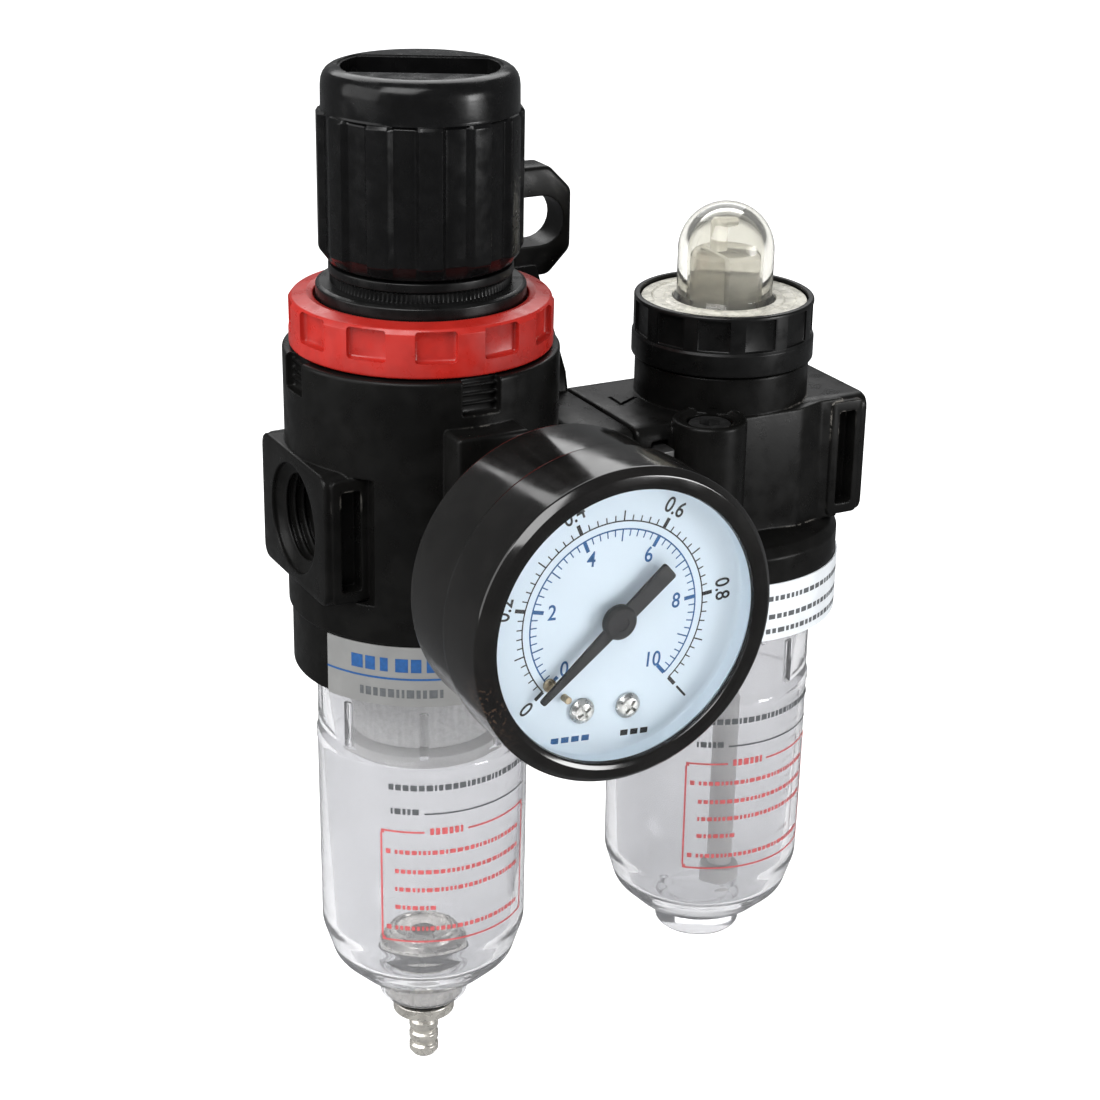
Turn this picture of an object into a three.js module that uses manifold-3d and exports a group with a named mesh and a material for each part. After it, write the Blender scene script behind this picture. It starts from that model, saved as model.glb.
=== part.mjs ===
// Filter regulator with dial gauge, mounting bracket and lubricator. Millimetres, +Z up.
// Every piece is drawn about the point where the filter regulator's vertical axis meets the port
// axis. The finished group is then moved so that its origin is the centre of the bracket's slot on
// the mounting face, where the set hangs. Air flows along +X, the gauge faces -Y and the bracket's
// mounting face looks towards +Y.
import * as THREE from "three";
import { mergeVertices } from "three/addons/utils/BufferGeometryUtils.js";
import Module from "manifold-3d";

const wasm = await Module();
wasm.setup();

// ---- driving dimensions ----
const SEGS = 32; // facets of a large round
const MID = 24; // facets of bowls, nuts and the bonnet
const FINE = 20; // facets of a middle-sized round
const SMALL = 12; // facets of a small round

const LUB_X = 51; // the lubricator's vertical axis
const PORT_FACE_X = 20.4; // port face of the filter regulator, each side of its axis
const LUB_IN_X = 29.6; // lubricator's joint face
const LUB_OUT_X = 70.8; // lubricator's outlet face
const BLOCK_Y = 11.9; // half width of the port blocks
const BLOCK_Z = 9.8; // half height of the port blocks
const BLOCK_R = 1.8; // corner radius of the port blocks
const PORT_R = 6.5; // thread bore of a 1/4 inch port
const MOUTH_R = 8.3; // counterbore of a port
const MOUTH_DEPTH = 2.2;
const SLOT_X = 3.9; // keeper slot's centre, behind its port face
const SLOT_W = 3; // width of a keeper slot
const SLOT_Z = 7.6; // half height of a keeper slot
const SLOT_DEPTH = 2.3;

const BODY_R = 20; // filter regulator's round body
const BODY_TOP_Z = 24;
const COLLAR_R = 19.35; // lower collars of both units
const COLLAR_TOP_Z = -15.2;
const COLLAR_BOTTOM_Z = -25;
const SOCKET_R = 16.6; // bowl sockets
const SOCKET_TOP_Z = -13;
const CHAMBER_R = 14.2; // chamber under the diaphragm
const CHAMBER_Z = 15;
const SEAT_RIM_Z = 27; // rim that the diaphragm rests on
const RIM_R = 16.9; // ring nut thread on the filter regulator
const VALVE_BORE_R = 4.5;
const DUCT_X = 10; // vertical ducts, each side of the valve
const DUCT_R = 3.6;

const KNOB_R = 14.5; // over the ribs
const CAP_R = 13.9;
const KNOB_BOTTOM_Z = 36.5;
const CAP_Z = 57.9; // where the ribs stop and the cap begins
const KNOB_TOP_Z = 63.8;
const KNOB_BORE_R = 11.3;
const KNOB_RIBS = 12;
const RIB_START = 11; // degrees from +X to a rib's centre
const FLUTE_R = 13.6; // floor of the flutes between the ribs
const POCKET_R = 11.1; // round ends of the pocket in the knob's top
const POCKET_HALF = 6.3; // from the knob's axis to each flat of the pocket
const POCKET_DEPTH = 2.9;
const POCKET_TURN = -28; // degrees the pocket's flats stand off the front
const NUT_R = 19; // ring nut of the bonnet
const NUT_POCKETS = 12;
const POCKET_START = 11.5; // degrees from the front to the ring nut's first pocket

const GAUGE_X = 1.2; // the gauge's axis, to the right of the regulator's
const GAUGE_Z = 2.5; // height of the gauge's axis
const GAUGE_TURN = -5; // degrees the screwed-in gauge stops past upright
const BEZEL_R = 21.6;
const CASE_R = 20.8;
const LIP_R = 18.6; // opening of the bezel
const DIAL_R = 19.6;
const DIAL_FACE = 55.9; // gauge distances are measured towards -Y from the origin
const ZERO_ANGLE = 225; // the pointer's rest, degrees from the dial's +X

const BOWL_TOP_Z = -13.4;
const BOWL_BOTTOM_Z = -84.2;
const BOWL_SLOTS = 8;
const BOWL_SLOT_START = 21; // degrees from the front to a bowl's first slot
const LABEL_SPAN = 6; // facets of a label each side of the front
const DOME_R = 7.34;
const DOME_TOP_Z = 39.4;
const NUT_GRIPS = 12; // flat recesses round the dome's ring nut
const GRIP_START = 22.8; // degrees from the front to the first of them
const SIPHON_Y = -6.2; // oil riser's offset from the lubricator's axis

const GAP = 0.3; // clearance between pieces that touch
const SPACER_X0 = PORT_FACE_X + GAP; // bracket's spacer between the units
const SPACER_X1 = LUB_IN_X - GAP;
const EAR_X = 25; // centre of the bracket's ear
const EAR_FRONT_Y = 20;
const MOUNT_Y = 25.5; // mounting face
const EAR_Z0 = 25.2;
const EAR_Z1 = 42.5;
const EAR_CHAMFER = 3.9;
const HANG_Z = 34; // height of the slot's centre
const HANG_R = 3.9; // half the slot's width
const HANG_HALF = 4.7; // from the slot's centre to the centre of its round end

// ---- looks: colour, roughness, metalness ----
const LOOKS = {
  paint: [0x1c1c1a, 0.45, 0.1],
  black: [0x151515, 0.35, 0],
  red: [0xd63828, 0.4, 0],
  clear: [0xe8eeee, 0.1, 0],
  dome: [0xe9e8d8, 0.1, 0],
  white: [0xe6e4dc, 0.6, 0],
  nickel: [0xb9b4a6, 0.3, 0.9],
  steel: [0xa9abad, 0.35, 0.9],
  brass: [0xb89a55, 0.35, 0.9],
  rubber: [0x121212, 0.8, 0],
  label: [0xb9bcbe, 0.4, 0.6],
  dial: [0xe3ecf3, 0.5, 0],
};

const group = new THREE.Group();
group.name = "filter_regulator_lubricator";

// ---- helpers ----
// One closed solid from a three.js geometry.
function solid(geometry) {
  const g = geometry.clone();
  g.deleteAttribute("normal");
  g.deleteAttribute("uv");
  const merged = mergeVertices(g, 1e-4);
  const p = merged.attributes.position.array;
  const kept = [];
  let six = 0;
  const index = merged.index.array;
  for (let i = 0; i < index.length; i += 3) {
    const [a, b, c] = [index[i], index[i + 1], index[i + 2]];
    if (a === b || b === c || c === a) continue;
    kept.push(a, b, c);
    const [u, v, w] = [3 * a, 3 * b, 3 * c];
    six += p[u] * (p[v + 1] * p[w + 2] - p[v + 2] * p[w + 1]);
    six += p[u + 1] * (p[v + 2] * p[w] - p[v] * p[w + 2]);
    six += p[u + 2] * (p[v] * p[w + 1] - p[v + 1] * p[w]);
  }
  if (six < 0) kept.reverse();
  const mesh = new wasm.Mesh({ numProp: 3, vertProperties: p, triVerts: new Uint32Array(kept) });
  return new wasm.Manifold(mesh);
}

function joined(solids) {
  return solids.reduce((a, b) => a.add(b));
}

function cut(body, tools) {
  return tools.reduce((a, b) => a.subtract(b), body);
}

// Adds a finished solid to the group under its own name.
function part(name, body, look) {
  const made = body.getMesh();
  const g = new THREE.BufferGeometry();
  g.setAttribute("position", new THREE.BufferAttribute(made.vertProperties, 3));
  g.setIndex(new THREE.BufferAttribute(made.triVerts, 1));
  g.computeVertexNormals();
  const [color, roughness, metalness] = LOOKS[look];
  const mesh = new THREE.Mesh(g, new THREE.MeshStandardMaterial({ color, roughness, metalness }));
  mesh.name = name;
  group.add(mesh);
}

// Geometry turned so that its +Z axis points along +X, or towards -Y.
const turnX = (g) => g.rotateY(Math.PI / 2);
const turnFront = (g) => g.rotateX(Math.PI / 2);

// Solid of revolution about Z from [radius, height] pairs that close on themselves or on the axis.
function latheGeometry(profile, segs = SEGS) {
  const points = profile.map(([r, z]) => new THREE.Vector2(r, z));
  return new THREE.LatheGeometry(points, segs).rotateX(Math.PI / 2);
}

const lathe = (profile, segs = SEGS, x = 0, y = 0) =>
  solid(latheGeometry(profile, segs).translate(x, y, 0));

const rod = (r, z0, z1, segs = SEGS, x = 0, y = 0) =>
  lathe([[0, z0], [r, z0], [r, z1], [0, z1]], segs, x, y);

const tube = (r0, r1, z0, z1, segs = SEGS, x = 0, y = 0) =>
  lathe([[r0, z0], [r1, z0], [r1, z1], [r0, z1], [r0, z0]], segs, x, y);

// Torus about Z.
function oRing(major, minor, z, segs = FINE) {
  return new THREE.TorusGeometry(major, minor, 5, segs).translate(0, 0, z);
}

// Rod along X from x0 to x1, and along -Y from a to b.
const rodX = (r, x0, x1, segs = SEGS, y = 0, z = 0) =>
  solid(turnX(latheGeometry([[0, x0], [r, x0], [r, x1], [0, x1]], segs)).translate(0, y, z));

const rodFront = (r, a, b, segs = SEGS, x = 0, z = 0) =>
  solid(turnFront(latheGeometry([[0, a], [r, a], [r, b], [0, b]], segs)).translate(x, 0, z));

function box(x0, x1, y0, y1, z0, z1) {
  const g = new THREE.BoxGeometry(x1 - x0, y1 - y0, z1 - z0);
  return g.translate((x0 + x1) / 2, (y0 + y1) / 2, (z0 + z1) / 2);
}

const block = (...sides) => solid(box(...sides));

function shapeOf(points) {
  return new THREE.Shape(points.map(([x, y]) => new THREE.Vector2(x, y)));
}

function prism(points, z0, z1) {
  const g = new THREE.ExtrudeGeometry(shapeOf(points), { depth: z1 - z0, bevelEnabled: false });
  return g.translate(0, 0, z0);
}

// Corner points of a rectangle with rounded corners.
function roundedRect(w, h, r, steps = 4) {
  const points = [];
  for (let corner = 0; corner < 4; corner++) {
    const cx = (corner === 0 || corner === 3 ? 1 : -1) * (w - r);
    const cy = (corner < 2 ? 1 : -1) * (h - r);
    for (let i = 0; i <= steps; i++) {
      const a = (corner + i / steps) * (Math.PI / 2);
      points.push([cx + r * Math.cos(a), cy + r * Math.sin(a)]);
    }
  }
  return points;
}

// Rounded rectangle in the YZ plane, run along X.
function blockX(x0, x1, halfY, halfZ, r) {
  return solid(turnX(prism(roundedRect(halfZ, halfY, r), x0, x1)));
}

// Points of an arc as [radius, height] or [x, y] pairs, from angle a0 to a1 in degrees.
function arc(cx, cy, rx, ry, a0, a1, steps) {
  const points = [];
  for (let i = 0; i <= steps; i++) {
    const a = THREE.MathUtils.degToRad(a0 + ((a1 - a0) * i) / steps);
    points.push([cx + rx * Math.cos(a), cy + ry * Math.sin(a)]);
  }
  return points;
}

// Round wire wound about Z, touching both heights.
function helix(meanR, wireR, z0, z1, turns, stepsPerTurn, sides) {
  class Coil extends THREE.Curve {
    getPoint(t, target = new THREE.Vector3()) {
      const a = 2 * Math.PI * turns * t;
      return target.set(meanR * Math.cos(a), meanR * Math.sin(a), z0 + wireR + (z1 - z0 - 2 * wireR) * t);
    }
  }
  const g = new THREE.ExtrudeGeometry(shapeOf(arc(0, 0, wireR, wireR, 0, 360 - 360 / sides, sides - 1)), {
    steps: Math.round(turns * stepsPerTurn),
    extrudePath: new Coil(),
    bevelEnabled: false,
  });
  return solid(g);
}

// Keeper slots at the front and back of a port block, centred at each listed x.
function keeperSlots(centres) {
  const slots = [];
  for (const x of centres) {
    for (const side of [-1, 1]) {
      const [near, far] = [side * (BLOCK_Y - SLOT_DEPTH), side * (BLOCK_Y + 6)];
      const [y0, y1] = [Math.min(near, far), Math.max(near, far)];
      slots.push(block(x - SLOT_W / 2, x + SLOT_W / 2, y0, y1, -SLOT_Z, SLOT_Z));
    }
  }
  return slots;
}

// ---- filter regulator housing ----
function frHousing() {
  const shell = lathe([
    [0, COLLAR_BOTTOM_Z], [COLLAR_R - 0.4, COLLAR_BOTTOM_Z], [COLLAR_R, COLLAR_BOTTOM_Z + 0.4],
    [COLLAR_R, COLLAR_TOP_Z], [BODY_R - 0.2, COLLAR_TOP_Z + 0.2], [BODY_R, BODY_TOP_Z - 0.4],
    [BODY_R - 0.4, BODY_TOP_Z], [RIM_R, BODY_TOP_Z], [RIM_R, SEAT_RIM_Z], [0, SEAT_RIM_Z],
  ]);
  const ports = blockX(-PORT_FACE_X, PORT_FACE_X, BLOCK_Y, BLOCK_Z, BLOCK_R);
  const boss = rodFront(8, 17, 27, FINE, GAUGE_X, GAUGE_Z);
  const pad = block(-5.5, 5.5, -24, -17, -BLOCK_Z, 17.3);

  // Flats beside the port blocks, so that a keeper can pass the round body.
  const relief = [];
  for (const sx of [-1, 1]) {
    for (const sy of [-1, 1]) {
      const [x0, x1] = sx < 0 ? [-PORT_FACE_X - 1, -13.9] : [13.9, PORT_FACE_X + 1];
      const [y0, y1] = sy < 0 ? [-16.5, -BLOCK_Y] : [BLOCK_Y, 16.5];
      relief.push(block(x0, x1, y0, y1, -BLOCK_Z + 0.3, BLOCK_Z - 0.3));
    }
  }
  const notches = [0, 90, 180, 270].map((degrees) => {
    const g = box(-2.9, 2.9, -BODY_R - 1, -BODY_R + 1.6, 19, BODY_TOP_Z + 1);
    return solid(g.rotateZ(THREE.MathUtils.degToRad(degrees)));
  });
  const bores = [
    rodX(MOUTH_R, -PORT_FACE_X - 1, -PORT_FACE_X + MOUTH_DEPTH, FINE),
    rodX(PORT_R, -PORT_FACE_X - 1, -8, FINE),
    rodX(PORT_R, 8, PORT_FACE_X + 1, FINE),
    rod(DUCT_R, SOCKET_TOP_Z - 1, 0, SMALL, -DUCT_X),
    rod(DUCT_R, 0, CHAMBER_Z + 1, SMALL, DUCT_X),
    rod(VALVE_BORE_R, SOCKET_TOP_Z - 1, 5.9, SMALL),
    rod(2.6, 5, 8.4, SMALL),
    rod(VALVE_BORE_R, 8, CHAMBER_Z + 1, SMALL),
    rod(CHAMBER_R, CHAMBER_Z, SEAT_RIM_Z + 1),
    rod(SOCKET_R, COLLAR_BOTTOM_Z - 1, SOCKET_TOP_Z),
    rodFront(4.9, 10, 28, SMALL, GAUGE_X, GAUGE_Z),
    rod(1.5, GAUGE_Z, CHAMBER_Z + 1, 12, 0, -11.5),
  ];
  const slots = keeperSlots([-PORT_FACE_X + SLOT_X, PORT_FACE_X - SLOT_X]);
  const outside = cut(shell, [...relief, ...notches]).add(ports).add(boss).add(pad);
  return cut(outside, [...bores, ...slots]);
}
part("fr_housing", frHousing(), "paint");

// ---- knob, screw, bonnet and ring nut ----
function knobRibs() {
  const points = [];
  for (let i = 0; i < KNOB_RIBS; i++) {
    for (const [offset, r] of [[-15, FLUTE_R], [-9, FLUTE_R], [-6.3, KNOB_R], [6.3, KNOB_R], [9, FLUTE_R]]) {
      const a = THREE.MathUtils.degToRad(RIB_START + (i * 360) / KNOB_RIBS + offset);
      points.push([r * Math.cos(a), r * Math.sin(a)]);
    }
  }
  return points;
}

function knob() {
  const ribs = solid(prism(knobRibs(), KNOB_BOTTOM_Z, CAP_Z - 0.3));
  const foot = lathe([[0, KNOB_BOTTOM_Z], [13, KNOB_BOTTOM_Z], [KNOB_R + 0.1, KNOB_BOTTOM_Z + 1.8],
    [KNOB_R + 0.1, CAP_Z], [0, CAP_Z]]);
  const cap = lathe([[0, CAP_Z - 1.5], [CAP_R, CAP_Z - 1.5],
    ...arc(CAP_R - 2, KNOB_TOP_Z - 3, 2, 3, 0, 90, 4),
    [0, KNOB_TOP_Z]]);
  const end = THREE.MathUtils.radToDeg(Math.asin(POCKET_HALF / POCKET_R));
  const ends = [0, 180].flatMap((middle) => arc(0, 0, POCKET_R, POCKET_R, middle - end, middle + end, 8));
  const pocket = prism(ends, KNOB_TOP_Z - POCKET_DEPTH, KNOB_TOP_Z + 1);
  pocket.rotateZ(THREE.MathUtils.degToRad(POCKET_TURN));
  const hub = rod(6.5, 55, 59, FINE);
  const socket = solid(latheGeometry([[0, 54], [5.5, 54], [5.5, 59.6], [0, 59.6]], 6));
  return cut(ribs.intersect(foot).add(cap), [rod(KNOB_BORE_R, KNOB_BOTTOM_Z - 1, 57), solid(pocket)])
    .add(hub).subtract(socket);
}
part("regulator_knob", knob(), "black");

part("adjusting_screw", joined([
  lathe([[0, 38], [2.4, 38], [3, 38.6], [3, 53.3], [6, 53.3], [6, 54.6], [0, 54.6]], SMALL),
  solid(latheGeometry([[0, 54], [5.1, 54], [5.1, 59.2], [0, 59.2]], 6)),
]), "steel");

part("bonnet", lathe([
  [13.8, 28], [16.8, 28], [16.8, 29.6], [15, 29.8], [15, 32.9], [14.6, 33.3], [12.4, 33.3], [12.4, 35.9],
  [10.7, 35.9], [10.7, 52.6], [10.3, 53], [3.4, 53], [3.4, 51], [8.6, 51], [8.6, 34], [13.8, 31.5],
  [13.8, 28],
], MID), "black");

function bonnetNut() {
  const nut = lathe([
    [RIM_R + GAP, BODY_TOP_Z + GAP], [NUT_R, BODY_TOP_Z + GAP], [NUT_R, 30.9], [NUT_R - 0.7, 31.6],
    [15.4, 31.6], [15.4, 29.9], [RIM_R + GAP, 29.9], [RIM_R + GAP, BODY_TOP_Z + GAP],
  ], MID);
  const pockets = [];
  for (let i = 0; i < NUT_POCKETS; i++) {
    const turn = THREE.MathUtils.degToRad(POCKET_START + (360 / NUT_POCKETS) * i);
    pockets.push(solid(box(-2.8, 2.8, -NUT_R - 1, -18.1, 27.1, 30.8).rotateZ(turn)));
  }
  return cut(nut, pockets);
}
part("bonnet_ring_nut", bonnetNut(), "red");

// ---- pressure-setting parts ----
part("spring_seat", lathe([
  [3.3, 45.4], [5.4, 45.4], [5.4, 47], [8.2, 47], [8.2, 49.2], [3.3, 49.2], [3.3, 45.4],
], FINE), "brass");
part("adjusting_spring", helix(6.9, 0.8, 31.3, 46.9, 4.5, 12, 5), "steel");
part("diaphragm", lathe([
  [4.9, 29], [9.2, 29], [13.2, 27.1], [16.6, 27.1], [16.6, 27.9], [13.4, 27.9], [9.4, 29.7], [4.9, 29.7],
  [4.9, 29],
], FINE), "rubber");
part("diaphragm_plate", lathe([
  [0, 27.2], [8, 27.2], [8, 28.5], [4.6, 28.5], [4.6, 29.9], [9, 29.9], [9, 31.2], [5, 31.2], [5, 33],
  [0, 33],
], FINE), "brass");
part("valve_poppet", lathe([
  [0, -1.5], [1.6, -1.5], [1.6, 1.5], [3.7, 1.5], [3.7, 5.2], [1.3, 5.6], [1.3, 27], [0, 27],
], SMALL), "brass");
part("valve_spring", helix(2.9, 0.45, -9.1, 1.4, 4, 9, 4), "steel");

// ---- filter parts ----
function valveGuide() {
  const body = lathe([
    [0, -17], [7.5, -17], [7.5, -13.3], [4.2, -13.3], [4.2, -9.2], [0, -9.2],
  ], FINE);
  const holes = [0, 90, 180, 270].map((degrees) => {
    const a = THREE.MathUtils.degToRad(degrees);
    return rod(0.8, -18, -8, 8, 3 * Math.cos(a), 3 * Math.sin(a));
  });
  return cut(body, [...holes, rod(1.8, -18, -12, 12)]);
}
part("valve_guide", valveGuide(), "brass");

function deflector() {
  const disc = lathe([
    [6.2, -19.5], [11.8, -19.5], [12.8, -18.6], [12.8, -17.3], [6.2, -17.3], [6.2, -19.5],
  ], FINE);
  const vanes = [];
  for (let i = 0; i < 8; i++) {
    const g = box(-0.8, 0.8, 10.2, 14, -21, -16).rotateZ((i * Math.PI) / 4);
    vanes.push(solid(g));
  }
  return cut(disc, vanes);
}
part("air_deflector", deflector(), "white");
part("filter_element", tube(6, 9.5, -36, -19.8, FINE), "white");
part("element_baffle", lathe([
  [0, -39.2], [9.6, -39.2], [10.8, -38.2], [10.8, -36.9], [8.4, -36.3], [1.5, -36.3], [1.5, -14.2],
  [0, -14.2],
], FINE), "white");

// ---- bowls ----
// Clear bowl about x: thick slotted band, thin wall, round bottom and nub. The filter's has a drain bore.
function bowl(x, drained) {
  const outside = [
    [15.6, BOWL_TOP_Z], [15.9, BOWL_TOP_Z - 0.3], [15.9, -14.9], [14.8, -14.9], [14.8, -16.7],
    [16.1, -16.7],
    [16.2, -38], [15.9, -70], ...arc(7.9, -70, 8, 10.3, -28, -76, 2), [7.1, -80.6],
    [6.9, BOWL_BOTTOM_Z + 0.4],
    [6.5, BOWL_BOTTOM_Z],
  ];
  const inside = [
    ...arc(7.6, -69.4, 6.2, 8, -90, 0, 3), [14.3, -38], [13.5, -36.6], [13.5, BOWL_TOP_Z],
  ];
  const core = drained
    ? [[4.6, BOWL_BOTTOM_Z], [4.6, -77.4]]
    : [[0, BOWL_BOTTOM_Z], [0, -82], [5.2, -82], [5.2, -77.6]];
  const points = drained
    ? [...core, ...inside, ...outside, core[0]]
    : [...core.slice(1), ...inside, ...outside, core[0]];
  const slots = [];
  for (let i = 0; i < BOWL_SLOTS; i++) {
    const turn = THREE.MathUtils.degToRad(BOWL_SLOT_START + (360 / BOWL_SLOTS) * i);
    slots.push(solid(box(-0.6, 0.6, -17, -15.1, -35, -28).rotateZ(turn).translate(x, 0, 0)));
  }
  return cut(lathe(points, MID, x), slots);
}
part("filter_bowl", bowl(0, true), "clear");
part("oil_bowl", bowl(LUB_X, false), "clear");
part("filter_bowl_o_ring", solid(oRing(15.75, 0.65, -15.8)), "rubber");
part("oil_bowl_o_ring", solid(oRing(15.75, 0.65, -15.8).translate(LUB_X, 0, 0)), "rubber");

// ---- drain ----
part("drain_valve_body", lathe([
  [3.1, -83.9], [4.3, -83.9], [4.3, -75.8], [6.4, -75.8], [6.6, -75.4], [6.4, -73.4], [5.6, -72.6],
  [4.1, -72.6],
  [3.9, -74.6], [2, -75.6], [2, -76.6], [3.1, -76.6], [3.1, -83.9],
], 16), "nickel");
part("drain_o_ring", solid(oRing(6, 0.6, -76.6, 20)), "rubber");
part("drain_seal", lathe([
  [3.4, -85.6], [4.7, -85.6], [5, -85.3], [5, -84.9], [4.7, -84.6], [3.4, -84.6], [3.4, -85.6],
], 16), "rubber");
function drainNipple() {
  const outside = [
    [1.2, -96.3], [1.9, -96.3], [2.4, -95.6], [2.4, -94.4], [2.1, -94.1], [2.4, -93.2], [2.4, -92.2],
    [2.1, -91.9], [2.4, -91], [2.4, -90], [2.1, -89.7], [2.1, -88.8], [4.2, -88.6], [4.9, -87.8],
    [4.9, -85.9],
    [2.8, -85.9], [2.8, -77.6], [1.2, -77.6], [1.2, -96.3],
  ];
  return lathe(outside, SMALL);
}
part("drain_nipple", drainNipple(), "nickel");

// ---- labels ----
function label(x) {
  const step = 360 / SEGS;
  const [a0, a1] = [-90 - LABEL_SPAN * step, -90 + LABEL_SPAN * step];
  const outer = arc(x, 0, COLLAR_R + 0.4, COLLAR_R + 0.4, a0, a1, 2 * LABEL_SPAN);
  const inner = arc(x, 0, COLLAR_R + 0.1, COLLAR_R + 0.1, a1, a0, 2 * LABEL_SPAN);
  return solid(prism([...outer, ...inner], COLLAR_BOTTOM_Z + 0.4, COLLAR_TOP_Z - GAP));
}
part("fr_label_band", label(0), "label");
part("lub_label_band", label(LUB_X), "label");

// ---- gauge, built facing +Z about its own axis and then turned to the front ----
function inGauge(g) {
  return g.rotateZ(THREE.MathUtils.degToRad(GAUGE_TURN)).rotateX(Math.PI / 2).translate(GAUGE_X, 0, GAUGE_Z);
}
const gaugeLathe = (profile, segs, x = 0, y = 0) =>
  solid(inGauge(latheGeometry(profile, segs).translate(x, y, 0)));
const gaugeRod = (r, a, b, segs, x = 0, y = 0) =>
  gaugeLathe([[0, a], [r, a], [r, b], [0, b]], segs, x, y);

const SCREWS = [[-3.4, -12.5], [3.4, -12.5]];
const STOP_PIN = [-6.1, -10.4];
const RIVET = [-8.5, -8.4];

part("gauge_case", gaugeLathe([
  [5.6, 38.7], [19.6, 38.7], [20.8, 39.9], [CASE_R, 56.9], [20, 56.9], [20, 40], [5.6, 40], [5.6, 38.7],
], SEGS), "black");
part("gauge_bezel", gaugeLathe([
  [21.05, 50], [BEZEL_R, 50], [BEZEL_R, 59.2], [20.9, 60.1], [19.6, 60.4], [18.9, 60.2],
  [LIP_R, 59.7], [LIP_R, 59.4], [21.05, 59.4], [21.05, 50],
], SEGS), "black");
part("gauge_lens", gaugeRod(20.6, 58.4, 59.1, FINE), "clear");

function dial() {
  const holes = SCREWS.map(([x, y]) => gaugeRod(0.9, 54, 57, 12, x, y));
  holes.push(gaugeRod(1, 54, 57, 12));
  holes.push(gaugeRod(0.6, 54, 57, 8, ...STOP_PIN), gaugeRod(0.6, 54, 57, 8, ...RIVET));
  return cut(gaugeRod(DIAL_R, DIAL_FACE - 0.6, DIAL_FACE, SEGS), holes);
}
part("gauge_dial", dial(), "dial");

function pointer() {
  const blade = [[-9.8, -1.25], [-9.8, 1.25], [0, 1.15], [14.4, 0.5], [14.4, -0.5], [0, -1.15]];
  const turned = prism(blade, 57.3, 57.8).rotateZ(THREE.MathUtils.degToRad(ZERO_ANGLE));
  const hub = gaugeLathe([[0, 57], [2.35, 57], [2.35, 57.8], [1.9, 58.1], [0, 58.1]], SMALL);
  return solid(inGauge(turned)).add(hub).subtract(gaugeRod(0.75, 56.9, 57.8, 10));
}
part("gauge_pointer", pointer(), "black");
part("pointer_arbor", gaugeRod(0.6, 49.4, 57.7, 10), "steel");
part("pointer_stop_pin", gaugeRod(0.5, 54.7, 57.9, 10, ...STOP_PIN), "brass");
part("dial_rivet", gaugeLathe([
  [0, 54.7], [0.5, 54.7], [0.5, 55.95], [0.9, 55.95], [0.9, 56.3], [0.6, 56.5], [0, 56.5],
], 10, ...RIVET), "brass");

// Domed screw head with a cross recess.
function dialScrew([x, y]) {
  const head = gaugeLathe([
    [0, 54.7], [0.75, 54.7], [0.75, 55.95], [1.75, 55.95], [1.75, 56.3], [1.2, 56.8], [0, 57],
  ], 16, x, y);
  const bars = [box(-0.95, 0.95, -0.2, 0.2, 56.4, 57.2), box(-0.2, 0.2, -0.95, 0.95, 56.4, 57.2)];
  return cut(head, bars.map((b) => solid(inGauge(b.rotateZ(0.5).translate(x, y, 0)))));
}
part("dial_screw_left", dialScrew(SCREWS[0]), "steel");
part("dial_screw_right", dialScrew(SCREWS[1]), "steel");

// Movement frame behind the dial, with a bore for the arbor and threads for the dial screws.
function movement() {
  const plate = solid(inGauge(box(-8, 8, -14, 6, 52.9, 54.4)));
  const rear = solid(inGauge(box(-6, 6, -12, 4.5, 47, 48.4)));
  const posts = [[-4.8, -10], [4.8, -10], [-4.8, 3],
    [4.8, 3]].map(([x, y]) => gaugeRod(1, 48, 53.2, 8, x, y));
  const foot = solid(inGauge(box(-2.5, 2.5, -4.5, 4.5, 44.4, 47.2)));
  return cut(joined([plate, rear, ...posts, foot]), [gaugeRod(0.85, 49, 55, 10),
    gaugeRod(0.85, 48.7, 49.5, 10)]);
}
part("gauge_movement", movement(), "brass");

function gaugeSocket() {
  const stem = gaugeLathe([[0, 12.4], [4.2, 12.4], [4.6, 12.8], [4.6, 27.4], [4.6, 35], [6, 35],
    [6, 38.4],
    [5.2, 38.4], [5.2, 43.6], [0, 43.6]], FINE);
  const hexagon = gaugeLathe([[0, 27.3], [8.08, 27.3], [8.08, 35.5], [0, 35.5]], 6);
  return stem.add(hexagon).subtract(gaugeRod(1.4, 11, 40, 10));
}
part("gauge_socket", gaugeSocket(), "brass");

// Flattened tube bent round the case, from beside the socket to its free tip.
function bourdon() {
  class Sweep extends THREE.Curve {
    getPoint(t, target = new THREE.Vector3()) {
      const a = THREE.MathUtils.degToRad(-70 + 270 * t);
      return target.set(15 * Math.cos(a), 15 * Math.sin(a), 44.5);
    }
  }
  const oval = shapeOf(arc(0, 0, 2.2, 0.9, 0, 300, 5));
  const g = new THREE.ExtrudeGeometry(oval, { steps: 18, extrudePath: new Sweep(), bevelEnabled: false });
  const link = box(4.9, 5.9, -15, -5.6, 41.4, 43.2);
  return solid(inGauge(g)).add(solid(inGauge(link.translate(0, 0, 0.6))));
}
part("bourdon_tube", bourdon(), "brass");

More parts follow.
